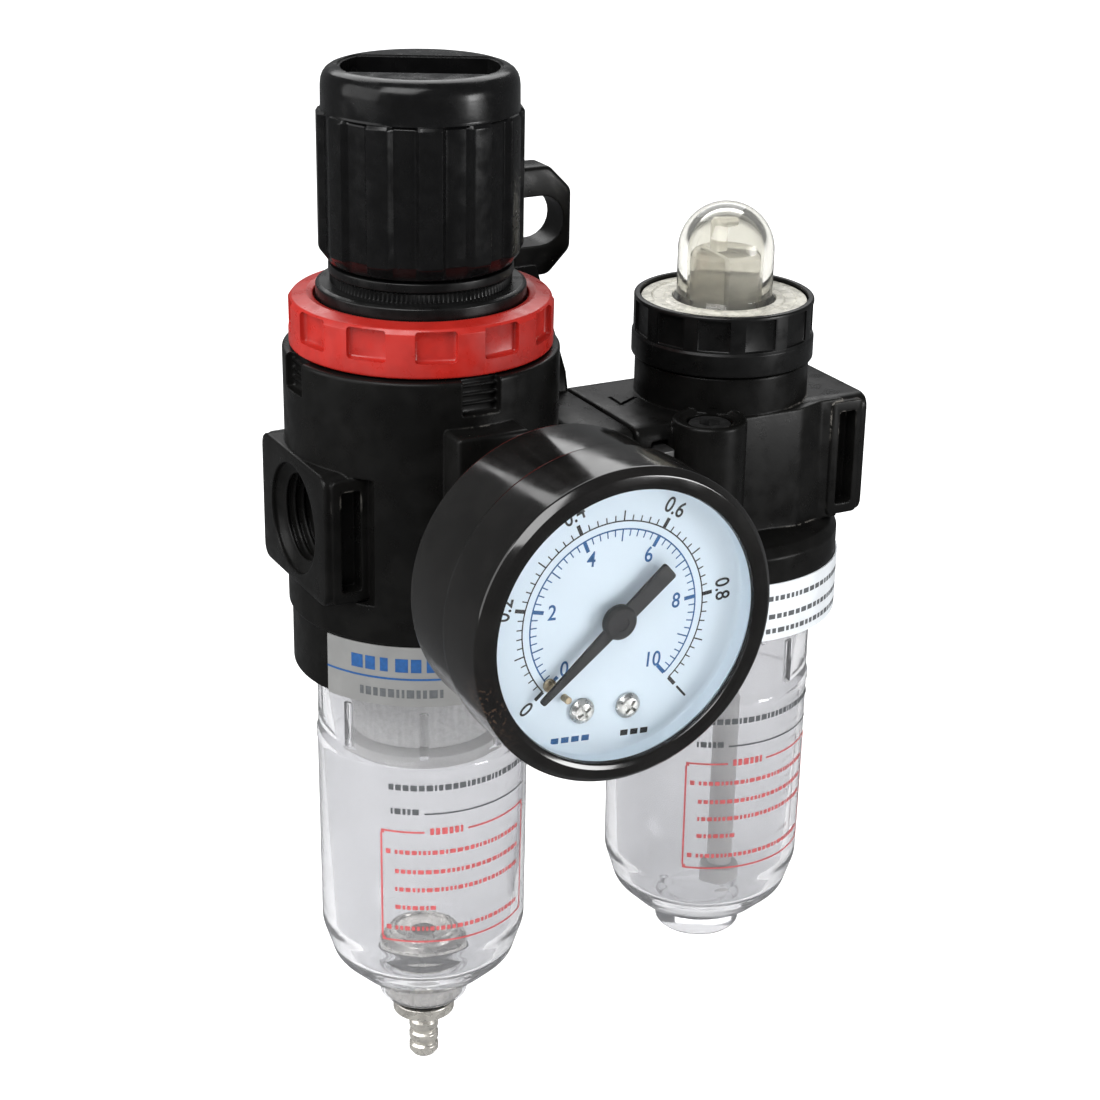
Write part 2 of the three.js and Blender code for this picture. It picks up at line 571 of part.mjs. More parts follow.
// ---- bracket and joint ----
function bracket() {
  const spacer = blockX(SPACER_X0, SPACER_X1, BLOCK_Y, BLOCK_Z, BLOCK_R);
  // Outline of the strut in the YZ plane.
  const strut = turnX(prism(
    [[8, 7], [9.6, 12.8], [18.8, 25.4], [20, 27], [MOUNT_Y, 27], [MOUNT_Y, 22.5], [14.8, 7.9], [11, 7.9]]
      .map(([y, z]) => [-z, y]), SPACER_X0 + 0.2, SPACER_X1 - 0.2));
  const c = EAR_CHAMFER;
  const [x0, x1] = [EAR_X - 10, EAR_X + 10];
  const ear = prism([
    [x0 + c, EAR_Z0], [x1 - c, EAR_Z0], [x1, EAR_Z0 + c], [x1, EAR_Z1 - c], [x1 - c, EAR_Z1],
    [x0 + c, EAR_Z1],
    [x0, EAR_Z1 - c], [x0, EAR_Z0 + c],
  ], -MOUNT_Y, -EAR_FRONT_Y).rotateX(Math.PI / 2);
  const slot = prism([
    ...arc(EAR_X + HANG_HALF, HANG_Z, HANG_R, HANG_R, -90, 90, 6),
    ...arc(EAR_X - HANG_HALF, HANG_Z, HANG_R, HANG_R, 90, 270, 6),
  ], -MOUNT_Y - 1, -EAR_FRONT_Y + 1).rotateX(Math.PI / 2);
  const grooves = [
    turnX(latheGeometry([[7.5, SPACER_X0 - 1], [9.5, SPACER_X0 - 1], [9.5, SPACER_X0 + 1.3],
      [7.5, SPACER_X0 + 1.3], [7.5, SPACER_X0 - 1]], FINE)),
    turnX(latheGeometry([[7.5, SPACER_X1 - 1.3], [9.5, SPACER_X1 - 1.3], [9.5, SPACER_X1 + 1],
      [7.5, SPACER_X1 + 1], [7.5, SPACER_X1 - 1.3]], FINE)),
  ];
  const screwHoles = [[7.6, BLOCK_Y + 1],
    [-BLOCK_Y - 1, -7.6]].map(([a, b]) => rodFront(2.1, a, b, 12, EAR_X));
  const tools = [rodX(PORT_R, SPACER_X0 - 1, SPACER_X1 + 1, FINE), ...grooves.map(solid), solid(slot),
    ...screwHoles];
  return cut(joined([spacer, solid(strut), solid(ear)]), tools);
}
part("mounting_bracket", bracket(), "paint");

const ringX = (x) => solid(turnX(oRing(8.5, 0.7, x)));
part("joint_o_ring_inlet", ringX(SPACER_X0 + 0.55), "rubber");
part("joint_o_ring_outlet", ringX(SPACER_X1 - 0.55), "rubber");

// Keeper that hooks into the slots of both blocks. side is -1 at the front and 1 at the back.
function keeper(side) {
  const [x0, x1] = [PORT_FACE_X - SLOT_X - 1.1, LUB_IN_X + SLOT_X + 1.1];
  const half = 6.9;
  const [near, far] = [BLOCK_Y + GAP, BLOCK_Y + 2.6];
  const hook = 2.2;
  const bars = [[x0, x1, near, far], [x0, x0 + hook, near - 2, far], [x1 - hook, x1, near - 2, far]].map(
    ([a, b, c, d]) => (side < 0 ? block(a, b, -d, -c, -half, half) : block(a, b, c, d, -half, half)));
  const span = side < 0 ? [near - 1, far + 1] : [-far - 1, -near + 1];
  return joined(bars).subtract(rodFront(2.2, ...span, 12, EAR_X));
}
part("joint_keeper_front", keeper(-1), "steel");
part("joint_keeper_rear", keeper(1), "steel");

function keeperScrew(side) {
  const g = latheGeometry([[0, 8], [1.8, 8], [1.8, 14.7], [3.3, 14.7], [3.3, 16.4], [2.6, 17.2],
    [0, 17.2]], 16);
  const recess = [box(-1.7, 1.7, -0.35, 0.35, 15.9, 18), box(-0.35, 0.35, -1.7, 1.7, 15.9, 18)];
  const turn = side < 0 ? Math.PI / 2 : -Math.PI / 2;
  const place = (shape) => solid(shape.rotateX(turn).translate(EAR_X, 0, 0));
  return cut(place(g), recess.map(place));
}
part("keeper_screw_front", keeperScrew(-1), "steel");
part("keeper_screw_rear", keeperScrew(1), "steel");

// ---- lubricator housing ----
const PLUG = [41, -13.5]; // oil fill plug's axis
const PLUG_BOSS_R = 6.1;

// Engraved arrow head on the top of the block.
function arrow() {
  const stroke = (x0, y0, x1, y1) => {
    const length = Math.hypot(x1 - x0, y1 - y0);
    const g = box(-0.3, length + 0.3, -0.3, 0.3, BLOCK_Z - 0.4, BLOCK_Z + 1);
    return solid(g.rotateZ(Math.atan2(y1 - y0, x1 - x0)).translate(x0, y0, 0));
  };
  return stroke(33.2, -0.3, 33.4, 3.3).add(stroke(33.2, -0.3, 36.8, 1.7));
}

function lubHousing() {
  const shell = lathe([
    [0, COLLAR_BOTTOM_Z], [COLLAR_R - 0.4, COLLAR_BOTTOM_Z], [COLLAR_R, COLLAR_BOTTOM_Z + 0.4],
    [COLLAR_R, -11.4], [COLLAR_R - 1, -10.2], [13.4, -9], [13.4, 15.2], [13, 15.6], [11.9, 15.6],
    [11.9, 21.2], [0, 21.2],
  ], SEGS, LUB_X);
  const ports = blockX(LUB_IN_X, LUB_OUT_X, BLOCK_Y, BLOCK_Z, BLOCK_R);
  const front = prism([[36, -BLOCK_Y + 1], [36, -13.6], [57.5, -13.6], [62, -BLOCK_Y], [62, -BLOCK_Y + 1]],
    -BLOCK_Z, BLOCK_Z);
  const boss = lathe([[0, -12], [PLUG_BOSS_R, -12], [PLUG_BOSS_R, 10.2], [PLUG_BOSS_R - 0.4, 10.6],
    [0, 10.6]],
    FINE, ...PLUG);
  const tools = [
    rodX(MOUTH_R, LUB_OUT_X - MOUTH_DEPTH, LUB_OUT_X + 1, FINE),
    rodX(PORT_R, LUB_X + 8, LUB_OUT_X + 1, FINE),
    rodX(PORT_R, LUB_IN_X - 1, LUB_X - 8, FINE),
    rodX(3, LUB_X - 9, LUB_X + 9, SMALL),
    rod(9.3, 8, 22, FINE, LUB_X),
    rod(1, 0, 9, 10, LUB_X),
    rod(2.3, SOCKET_TOP_Z - 1, 9, 16, LUB_X, SIPHON_Y),
    rod(SOCKET_R, COLLAR_BOTTOM_Z - 1, SOCKET_TOP_Z, SEGS, LUB_X),
    rod(3.5, -8, 11, SMALL, ...PLUG),
    rod(1.8, SOCKET_TOP_Z - 1, -7, 10, 43.4, -10.6),
    arrow(),
  ];
  const slots = keeperSlots([LUB_IN_X + SLOT_X, LUB_OUT_X - SLOT_X]);
  return cut(joined([shell, ports, solid(front), boss]), [...tools, ...slots]);
}
part("lubricator_housing", lubHousing(), "paint");

part("oil_fill_plug", rod(3.2, 3, 9.9, SMALL, ...PLUG).subtract(
  solid(latheGeometry([[0, 7.4], [1.75, 7.4], [1.75, 11], [0, 11]], 6).translate(...PLUG, 0))), "steel");

// ---- sight dome and its parts ----
part("sight_dome", lathe([
  [5.8, 19.8], [9, 19.8], [9, 22.4], [12.7, 22.4], [12.7, 24.6], [8, 24.6], [DOME_R, 25.3],
  ...arc(0, DOME_TOP_Z - DOME_R, DOME_R, DOME_R, 0, 90, 5),
  ...arc(0, DOME_TOP_Z - DOME_R, 5.8, 5.8, 90, 0, 3), [5.8, 19.8],
], FINE, LUB_X), "dome");

function domeNut() {
  const nut = lathe([
    [12.2, 15.9], [14, 15.9], [14, 19.3], [13.8, 19.6], [13.8, 24.8], [13.4, 25.2], [12.5, 25.2],
    [12.5, 24.9], [13, 24.9], [13, 22.1], [12.2, 22.1], [12.2, 15.9],
  ], MID, LUB_X);
  const grips = [];
  for (let i = 0; i < NUT_GRIPS; i++) {
    const g = box(-2.4, 2.4, -15, -13.4, 19.7, 24.3);
    g.rotateZ(THREE.MathUtils.degToRad(GRIP_START + (i * 360) / NUT_GRIPS));
    grips.push(solid(g.translate(LUB_X, 0, 0)));
  }
  return cut(nut, grips);
}
part("dome_ring_nut", domeNut(), "black");
part("dome_o_ring", solid(oRing(10.6, 0.5, 21.8).translate(LUB_X, 0, 0)), "rubber");

// Insert that carries the drip nozzle: base plate, column and hooked nozzle.
function dripGuide() {
  const base = lathe([
    [0, 12], [8.9, 12], [8.9, 14], [5.2, 14.6], [5.2, 17], [3.2, 17.6], [3.2, 29], [2.6, 29.6], [0, 29.6],
  ], SMALL, LUB_X);
  const hook = block(LUB_X - 0.9, LUB_X + 0.9, -4.6, 1, 28.2, 31.2);
  const tip = rod(0.9, 26.6, 30, 10, LUB_X, -4.2);
  const window = block(LUB_X - 1.9, LUB_X + 1.9, -6, 6, 19.4, 26.6);
  return cut(joined([base, hook, tip]), [window, rod(0.5, 11, 20, 8, LUB_X)]);
}
part("drip_guide", dripGuide(), "dome");

part("siphon_tube", tube(1.2, 2, -70, -5, 16, LUB_X, SIPHON_Y), "white");
part("siphon_strainer", lathe([
  [0, -74.4], [2.6, -74.4], [3.1, -73.9], [3.1, -70.3], [0, -70.3],
], 16, LUB_X, SIPHON_Y), "brass");
part("check_ball", solid(new THREE.SphereGeometry(1.6, 10, 6).translate(LUB_X, SIPHON_Y, -3.2)), "steel");

group.position.set(-EAR_X, -MOUNT_Y, -HANG_Z);

export default group;
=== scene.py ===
# Looks of the filter regulator lubricator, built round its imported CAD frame. Metres, +Z up.
# Shapes are drawn in millimetres about their own axis, then placed in the frame.
import math
import random

import bmesh
import bpy
from mathutils import Matrix, Vector


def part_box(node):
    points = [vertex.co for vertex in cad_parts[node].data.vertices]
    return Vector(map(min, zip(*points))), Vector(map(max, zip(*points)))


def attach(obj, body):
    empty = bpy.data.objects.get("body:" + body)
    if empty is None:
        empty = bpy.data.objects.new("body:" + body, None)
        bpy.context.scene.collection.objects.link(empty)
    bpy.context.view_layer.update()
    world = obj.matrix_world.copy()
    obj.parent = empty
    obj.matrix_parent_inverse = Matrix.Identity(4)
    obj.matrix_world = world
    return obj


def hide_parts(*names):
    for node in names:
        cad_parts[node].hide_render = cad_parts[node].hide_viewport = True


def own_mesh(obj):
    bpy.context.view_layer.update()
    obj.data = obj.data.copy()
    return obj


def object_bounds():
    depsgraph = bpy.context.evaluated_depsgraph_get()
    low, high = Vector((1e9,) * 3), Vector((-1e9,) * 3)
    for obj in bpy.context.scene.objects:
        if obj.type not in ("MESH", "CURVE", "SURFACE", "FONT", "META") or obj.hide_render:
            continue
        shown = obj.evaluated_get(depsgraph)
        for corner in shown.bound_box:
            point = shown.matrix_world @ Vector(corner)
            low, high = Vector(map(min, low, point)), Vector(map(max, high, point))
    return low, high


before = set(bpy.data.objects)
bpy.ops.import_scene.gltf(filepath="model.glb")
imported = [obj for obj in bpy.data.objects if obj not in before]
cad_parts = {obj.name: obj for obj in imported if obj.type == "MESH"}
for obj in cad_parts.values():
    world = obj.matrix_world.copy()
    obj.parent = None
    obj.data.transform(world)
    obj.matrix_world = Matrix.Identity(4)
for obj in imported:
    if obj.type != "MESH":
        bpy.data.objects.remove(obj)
cad_low, cad_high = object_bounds()

# ---- places taken from the frame ----
MM = 0.001
TURN = 2 * math.pi


def middle(node):
    low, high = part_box(node)
    return (low + high) / 2


FR = middle("filter_bowl")
LUB = middle("oil_bowl")
PORT_Z = middle("joint_o_ring_inlet").z
GAUGE = middle("gauge_dial")
GAUGE_TURN = math.radians(-5)
SPACING = (LUB.x - FR.x) / MM  # millimetres between the two vertical axes
SCALE = Matrix.Scale(MM, 4)
IN_FR = Matrix.Translation((FR.x, FR.y, PORT_Z)) @ SCALE
IN_LUB = Matrix.Translation((LUB.x, LUB.y, PORT_Z)) @ SCALE
UPRIGHT_TO_FRONT = Matrix.Rotation(math.pi / 2, 4, "X")
IN_GAUGE = (
    Matrix.Translation((GAUGE.x, FR.y, GAUGE.z))
    @ UPRIGHT_TO_FRONT
    @ Matrix.Rotation(GAUGE_TURN, 4, "Z")
    @ SCALE
)
ALONG_X = Matrix.Rotation(math.pi / 2, 4, "Y")


# ---- mesh helpers, in millimetres ----
def new_object(name, verts, faces):
    mesh = bpy.data.meshes.new(name)
    mesh.from_pydata([tuple(v) for v in verts], [], faces)
    mesh.update()
    obj = bpy.data.objects.new(name, mesh)
    bpy.context.scene.collection.objects.link(obj)
    return obj


def outward(obj):
    """Welds the shape's points and turns its faces outwards."""
    bm = bmesh.new()
    bm.from_mesh(obj.data)
    bmesh.ops.remove_doubles(bm, verts=bm.verts, dist=1e-4)
    bmesh.ops.recalc_face_normals(bm, faces=bm.faces)
    bm.to_mesh(obj.data)
    bm.free()
    return obj


def rounded(outline, closed, steps=4):
    """Outline points (a, b) or (a, b, fillet radius) with the fillets drawn in."""
    points = []
    count = len(outline)
    for i, corner in enumerate(outline):
        at = Vector(corner[:2])
        fillet = corner[2] if len(corner) > 2 else 0
        if not fillet or (not closed and i in (0, count - 1)):
            points.append(at)
            continue
        back = Vector(outline[i - 1][:2]) - at
        ahead = Vector(outline[(i + 1) % count][:2]) - at
        half = back.angle(ahead) / 2
        reach = min(fillet / math.tan(half), 0.48 * back.length, 0.48 * ahead.length)
        start = at + back.normalized() * reach
        end = at + ahead.normalized() * reach
        for k in range(steps + 1):
            t = k / steps
            points.append((1 - t) ** 2 * start + 2 * (1 - t) * t * at + t * t * end)
    return points


def revolve(outline, segments=96, radius_at=None, steps=4):
    """Closed surface of revolution about Z. The outline closes on itself or starts and ends on the axis.
    radius_at(radius, height, angle) may flute it."""
    closed = outline[0][0] > 1e-6
    profile = rounded(outline, closed, steps)
    verts, rings = [], []
    for r, z in profile:
        if r < 1e-6:
            rings.append([len(verts)])
            verts.append((0, 0, z))
            continue
        ring = []
        for k in range(segments):
            a = TURN * k / segments
            radius = radius_at(r, z, a) if radius_at else r
            ring.append(len(verts))
            verts.append((radius * math.cos(a), radius * math.sin(a), z))
        rings.append(ring)
    pairs = list(zip(rings, rings[1:])) + ([(rings[-1], rings[0])] if closed else [])
    faces = []
    for low, high in pairs:
        for k in range(segments):
            j = (k + 1) % segments
            if len(low) == 1 and len(high) > 1:
                faces.append((low[0], high[j], high[k]))
            elif len(high) == 1 and len(low) > 1:
                faces.append((low[k], low[j], high[0]))
            elif len(low) > 1:
                faces.append((low[k], low[j], high[j], high[k]))
    return outward(new_object("lathe", verts, faces))


def bevelled(obj, radius, **settings):
    """Rounds the edges that join two points at one height, or every edge when the settings say so."""
    bm = bmesh.new()
    bm.from_mesh(obj.data)
    edges = bm.edges[:]
    if settings.pop("ends_only", False):
        edges = [e for e in edges if abs(e.verts[0].co.z - e.verts[1].co.z) < 1e-6]
    bmesh.ops.bevel(bm, geom=edges, offset=radius, segments=3, profile=0.5, affect="EDGES", **settings)
    bm.to_mesh(obj.data)
    bm.free()
    return obj


def prism(outline, z0, z1, edge=0.0, steps=4):
    """Straight extrusion of a closed outline along Z, with its end edges rounded by edge."""
    flat = rounded(outline, True, steps)
    count = len(flat)
    verts = [(p.x, p.y, z) for z in (z0, z1) for p in flat]
    faces = [tuple(range(count)), tuple(range(count, 2 * count))]
    faces += [(k, (k + 1) % count, (k + 1) % count + count, k + count) for k in range(count)]
    obj = outward(new_object("prism", verts, faces))
    return bevelled(obj, edge, ends_only=True, clamp_overlap=True) if edge else obj


def slab(x0, x1, y0, y1, z0, z1, edge=0.0):
    """Box with every edge rounded by edge."""
    verts = [(x, y, z) for x in (x0, x1) for y in (y0, y1) for z in (z0, z1)]
    faces = [(0, 1, 3, 2), (4, 6, 7, 5), (0, 4, 5, 1), (2, 3, 7, 6), (0, 2, 6, 4), (1, 5, 7, 3)]
    obj = outward(new_object("slab", verts, faces))
    return bevelled(obj, edge) if edge else obj


def rod(radius, z0, z1, segments=48, edge=0.0):
    outline = [(0, z0), (radius, z0, edge), (radius, z1, edge), (0, z1)]
    return revolve(outline, segments)


def ring(major, minor, z):
    """Round-section ring."""
    angles = [TURN * k / 16 for k in range(16)]
    return revolve([(major + minor * math.cos(a), z + minor * math.sin(a)) for a in angles])


def moved(obj, matrix):
    obj.data.transform(matrix)
    return obj


def at(x=0.0, y=0.0, z=0.0):
    return Matrix.Translation((x, y, z))


def spun(angle):
    return Matrix.Rotation(angle, 4, "Z")


def around(shape_at, count, start=0):
    """Copies of a shape about Z as one mesh, the first at start degrees."""
    turns = [math.radians(start + 360 / count * k) for k in range(count)]
    return together(*(moved(shape_at(), spun(turn)) for turn in turns))


def combine(base, others, operation):
    """base with every other shape joined to it or cut from it; the others are used up."""
    for other in others:
        modifier = base.modifiers.new("combine", "BOOLEAN")
        modifier.operation = operation
        modifier.solver = "MANIFOLD"
        modifier.object = other
        graph = bpy.context.evaluated_depsgraph_get()
        made = bpy.data.meshes.new_from_object(base.evaluated_get(graph))
        base.modifiers.clear()
        base.data = made
        bpy.data.objects.remove(other)
    return base


def cut(base, *others):
    return combine(base, others, "DIFFERENCE")


def join(base, *others):
    return combine(base, others, "UNION")


def together(*objects):
    """Several separate shapes as one mesh."""
    bm = bmesh.new()
    for obj in objects:
        bm.from_mesh(obj.data)
    bm.to_mesh(objects[0].data)
    bm.free()
    for obj in objects[1:]:
        bpy.data.objects.remove(obj)
    return objects[0]


SHARP_ANGLE = math.radians(34)


def finish_mesh(mesh, look):
    mesh.materials.clear()
    mesh.materials.append(LOOKS[look])
    mesh.shade_smooth()
    mesh.set_sharp_from_angle(angle=SHARP_ANGLE)


def show(obj, name, place, body, look, stands_for=()):
    """Puts a finished shape in the frame, on its body and in a look, and hides the CAD nodes it stands
    for.
    """
    obj.name = name
    obj.data.name = name
    obj.data.transform(place)
    finish_mesh(obj.data, look)
    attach(obj, body)
    if stands_for:
        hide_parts(*stands_for)
    return obj


# ---- materials ----
class Look:
    """A node material: one shader, with colour, roughness and bump worked out from noise."""

    def __init__(self, name, colour, roughness, metallic=0.0, specular=0.5, **fixed):
        self.material = bpy.data.materials.new(name)
        self.material.use_nodes = True
        self.tree = self.material.node_tree
        self.shader = next(n for n in self.tree.nodes if n.type == "BSDF_PRINCIPLED")
        self.colour = (*colour, 1.0)
        self.shader.inputs["Base Color"].default_value = self.colour
        self.shader.inputs["Roughness"].default_value = roughness
        self.shader.inputs["Metallic"].default_value = metallic
        self.shader.inputs["Specular IOR Level"].default_value = specular
        for socket, value in fixed.items():
            self.shader.inputs[socket.replace("_", " ")].default_value = value
        self.roughness = roughness
        self.where = self.node("ShaderNodeTexCoord").outputs["Object"]
        self.normal = None

    def node(self, kind, **settings):
        made = self.tree.nodes.new(kind)
        for key, value in settings.items():
            setattr(made, key, value)
        return made

    def link(self, source, target):
        self.tree.links.new(source, target)

    def noise(self, grain_mm, detail=3.0, stretch=(1, 1, 1)):
        mapping = self.node("ShaderNodeMapping")
        mapping.inputs["Scale"].default_value = [s / (grain_mm * MM) for s in stretch]
        texture = self.node("ShaderNodeTexNoise")
        texture.inputs["Scale"].default_value = 1.0
        texture.inputs["Detail"].default_value = detail
        self.link(self.where, mapping.inputs["Vector"])
        self.link(mapping.outputs["Vector"], texture.inputs["Vector"])
        return texture.outputs["Fac"]

    def remap(self, value, low, high, out_low, out_high):
        node = self.node("ShaderNodeMapRange", interpolation_type="SMOOTHSTEP")
        sockets = ("From Min", "From Max", "To Min", "To Max")
        for socket, number in zip(sockets, (low, high, out_low, out_high)):
            node.inputs[socket].default_value = number
        self.link(value, node.inputs["Value"])
        return node.outputs["Result"]

    def times(self, a, b):
        node = self.node("ShaderNodeMath", operation="MULTIPLY", use_clamp=True)
        self.link(a, node.inputs[0])
        self.link(b, node.inputs[1])
        return node.outputs[0]

    def paint(self, factor, colour):
        """Mixes a colour into the base colour by a factor."""
        mix = self.node("ShaderNodeMix", data_type="RGBA")
        base = self.shader.inputs["Base Color"]
        if base.is_linked:
            self.link(base.links[0].from_socket, mix.inputs[6])
        else:
            mix.inputs[6].default_value = self.colour
        mix.inputs[7].default_value = (*colour, 1.0)
        self.link(factor, mix.inputs["Factor"])
        self.link(mix.outputs[2], base)
        return self

    def mottled(self, grain_mm, share, shade=0.75):
        """Soft patches, darker by shade, over up to share of the colour."""
        factor = self.remap(self.noise(grain_mm), 0.4, 0.65, 0.0, share)
        return self.paint(factor, [c * shade for c in self.colour[:3]])

    def uneven(self, grain_mm, spread):
        """Roughness that wanders by spread each way."""
        least, most = self.roughness - spread, self.roughness + spread
        value = self.remap(self.noise(grain_mm), 0.35, 0.65, least, most)
        self.link(value, self.shader.inputs["Roughness"])
        return self

    def soft_edges(self, radius_mm):
        """Shades the edges as if rounded."""
        bevel = self.node("ShaderNodeBevel", samples=6)
        bevel.inputs["Radius"].default_value = radius_mm * MM
        self.normal = bevel.outputs["Normal"]
        self.link(self.normal, self.shader.inputs["Normal"])
        return self

    def bumpy(self, grain_mm, height_mm, strength=0.4, detail=2.0, stretch=(1, 1, 1)):
        bump = self.node("ShaderNodeBump")
        bump.inputs["Strength"].default_value = strength
        bump.inputs["Distance"].default_value = height_mm * MM
        self.link(self.noise(grain_mm, detail, stretch), bump.inputs["Height"])
        if self.normal:
            self.link(self.normal, bump.inputs["Normal"])
        self.normal = bump.outputs["Normal"]
        self.link(self.normal, self.shader.inputs["Normal"])
        return self

    def wear_and_painted_highlights(self, colour, places, amount, width_mm=0.5, grain_mm=1.2):
        """Bare metal wear and painted highlights on outer edges near some places, (point, radius) in
        metres, broken up by noise.
        """
        bevel = self.node("ShaderNodeBevel", samples=6)
        bevel.inputs["Radius"].default_value = width_mm * MM
        dot = self.node("ShaderNodeVectorMath", operation="DOT_PRODUCT")
        self.link(bevel.outputs["Normal"], dot.inputs[0])
        self.link(self.node("ShaderNodeNewGeometry").outputs["Normal"], dot.inputs[1])
        edge = self.remap(dot.outputs["Value"], 0.8, 0.97, 1.0, 0.0)
        nearest = None
        for point, radius in places:
            near = self.near(point, radius)
            if nearest:
                larger = self.node("ShaderNodeMath", operation="MAXIMUM")
                self.link(nearest, larger.inputs[0])
                self.link(near, larger.inputs[1])
                near = larger.outputs[0]
            nearest = near
        patches = self.remap(self.noise(grain_mm, 4.0), 0.44, 0.56, 0.0, amount)
        return self.paint(self.times(self.times(edge, nearest), patches), colour)

    def near(self, point, radius):
        """1 close to a point of the frame, falling to 0 at the radius."""
        distance = self.node("ShaderNodeVectorMath", operation="DISTANCE")
        distance.inputs[1].default_value = point
        self.link(self.where, distance.inputs[0])
        return self.remap(distance.outputs["Value"], 0.2 * radius, radius, 1.0, 0.0)

    def spot(self, point, radius, colour, grain_mm, amount):
        """Discoloured patch round a point of the frame, broken up by noise."""
        patches = self.remap(self.noise(grain_mm, 5.0), 0.52, 0.64, 0.0, amount)
        return self.paint(self.times(self.near(point, radius), patches), colour)


def fr_point(x, y, z):
    """Point in millimetres about the filter regulator's port axis, in the frame's metres."""
    return Vector((FR.x + x * MM, FR.y + y * MM, PORT_Z + z * MM))


# Grey of bare metal on worn edges, also standing in for painted edge highlights.
BARE_METAL_AND_HIGHLIGHT = (0.32, 0.30, 0.27)


# key: material, colour, roughness, bump (grain, depth, strength, ...), roughness (grain, spread),
# mottle (grain, share, shade) and the shader's other settings. Grains and depths are in millimetres.
ALONG_SHEET = (1, 1, 0.1)
LOOK_TABLE = {
    "bonnet": ("black_bonnet", (0.003, 0.003, 0.003), 0.33,
               (0.25, 0.012, 0.3), (2, 0.06), (1.5, 0.5, 1.6), {"specular": 0.25}),
    "pointer": ("pointer_black", (0.008, 0.008, 0.009), 0.45,
                (0.2, 0.01, 0.3), None, (0.8, 0.6, 1.6), {"specular": 0.35}),
    "red": ("red_plastic", (0.37, 0.016, 0.011), 0.33,
            (0.35, 0.012, 0.3), (2, 0.06), (3, 0.6, 0.8), {"specular": 0.35}),
    "clear": ("clear_plastic", (0.675, 0.677, 0.692), 0.05,
              (5, 0.05, 0.12), (6, 0.02), (7, 0.5, 0.94), {"Transmission_Weight": 0.88, "IOR": 1.3}),
    "dome": ("dome_plastic", (0.80, 0.79, 0.74), 0.04,
             (2.5, 0.04, 0.12), (3, 0.02), (4, 0.6, 0.93), {"Transmission_Weight": 0.95, "IOR": 1.32}),
    "insert": ("insert_plastic", (0.99, 0.975, 0.92), 0.08, (1.2, 0.06, 0.3, 3.0, (1, 1, 0.25)),
               (2, 0.05), (1.5, 0.7, 0.85), {"Transmission_Weight": 0.72, "IOR": 1.08}),
    "frost": ("frosted_plastic", (0.72, 0.70, 0.62), 0.28,
              (0.7, 0.05, 0.4), (2, 0.08), (1.4, 0.8, 0.7), {"Transmission_Weight": 0.1, "IOR": 1.4}),
    "lens": ("lens_plastic", (0.99, 0.995, 1.0), 0.02,
             (12, 0.02, 0.05), None, (20, 0.3, 0.99), {"Transmission_Weight": 1.0, "IOR": 1.15}),
    "white": ("white_plastic", (0.74, 0.73, 0.70), 0.5, (0.4, 0.02, 0.3), (2, 0.08), (4, 0.6, 0.88), {}),
    "medium": ("filter_medium", (0.78, 0.77, 0.74), 0.85,
               (0.28, 0.12, 0.9, 4.0), (1, 0.1), (0.7, 0.8, 0.8), {}),
    "nickel": ("nickel", (0.74, 0.71, 0.65), 0.28,
               (0.12, 0.01, 0.3, 3.0, (0.2, 0.2, 1)), (1.5, 0.09), (2, 0.8, 0.7), {"metallic": 0.72}),
    "steel": ("zinc_steel", (0.62, 0.62, 0.60), 0.3,
              (0.15, 0.01, 0.3), (1, 0.1), (0.8, 0.8, 0.6), {"metallic": 0.8}),
    "dark_steel": ("black_oxide_steel", (0.012, 0.012, 0.012), 0.38,
                   (0.3, 0.01, 0.3), (1, 0.08), (1.5, 0.8, 1.8), {"specular": 0.4}),
    "brass": ("brass", (0.42, 0.35, 0.24), 0.36,
              (0.15, 0.01, 0.3), (1, 0.1), (0.8, 0.8, 0.6), {"metallic": 0.8}),
    "rubber": ("rubber", (0.008, 0.008, 0.008), 0.6,
               (0.2, 0.02, 0.4), (1, 0.1), (1.5, 0.8, 1.7), {"specular": 0.35}),
    "foil": ("label_foil", (0.30, 0.30, 0.295), 0.42,
             (0.1, 0.006, 0.3, 2.0, ALONG_SHEET), (2, 0.05), (5, 0.7, 0.88), {"metallic": 0.45}),
    "pale_foil": ("label_pale", (0.76, 0.79, 0.82), 0.42,
                  (0.1, 0.006, 0.3, 2.0, ALONG_SHEET), (2, 0.05), (5, 0.7, 0.9), {"metallic": 0.2}),
    "dial": ("dial_paper", (0.66, 0.76, 0.84), 0.5, (0.3, 0.004, 0.2), (3, 0.05), (9, 0.6, 0.96), {}),
}
INKS = {
    "ink_black": (0.004, 0.004, 0.005),
    "ink_blue": (0.006, 0.075, 0.22),
    "ink_red": (0.42, 0.07, 0.075),
    "ink_grey": (0.07, 0.075, 0.08),
    "ink_sky": (0.001, 0.055, 0.19),
}


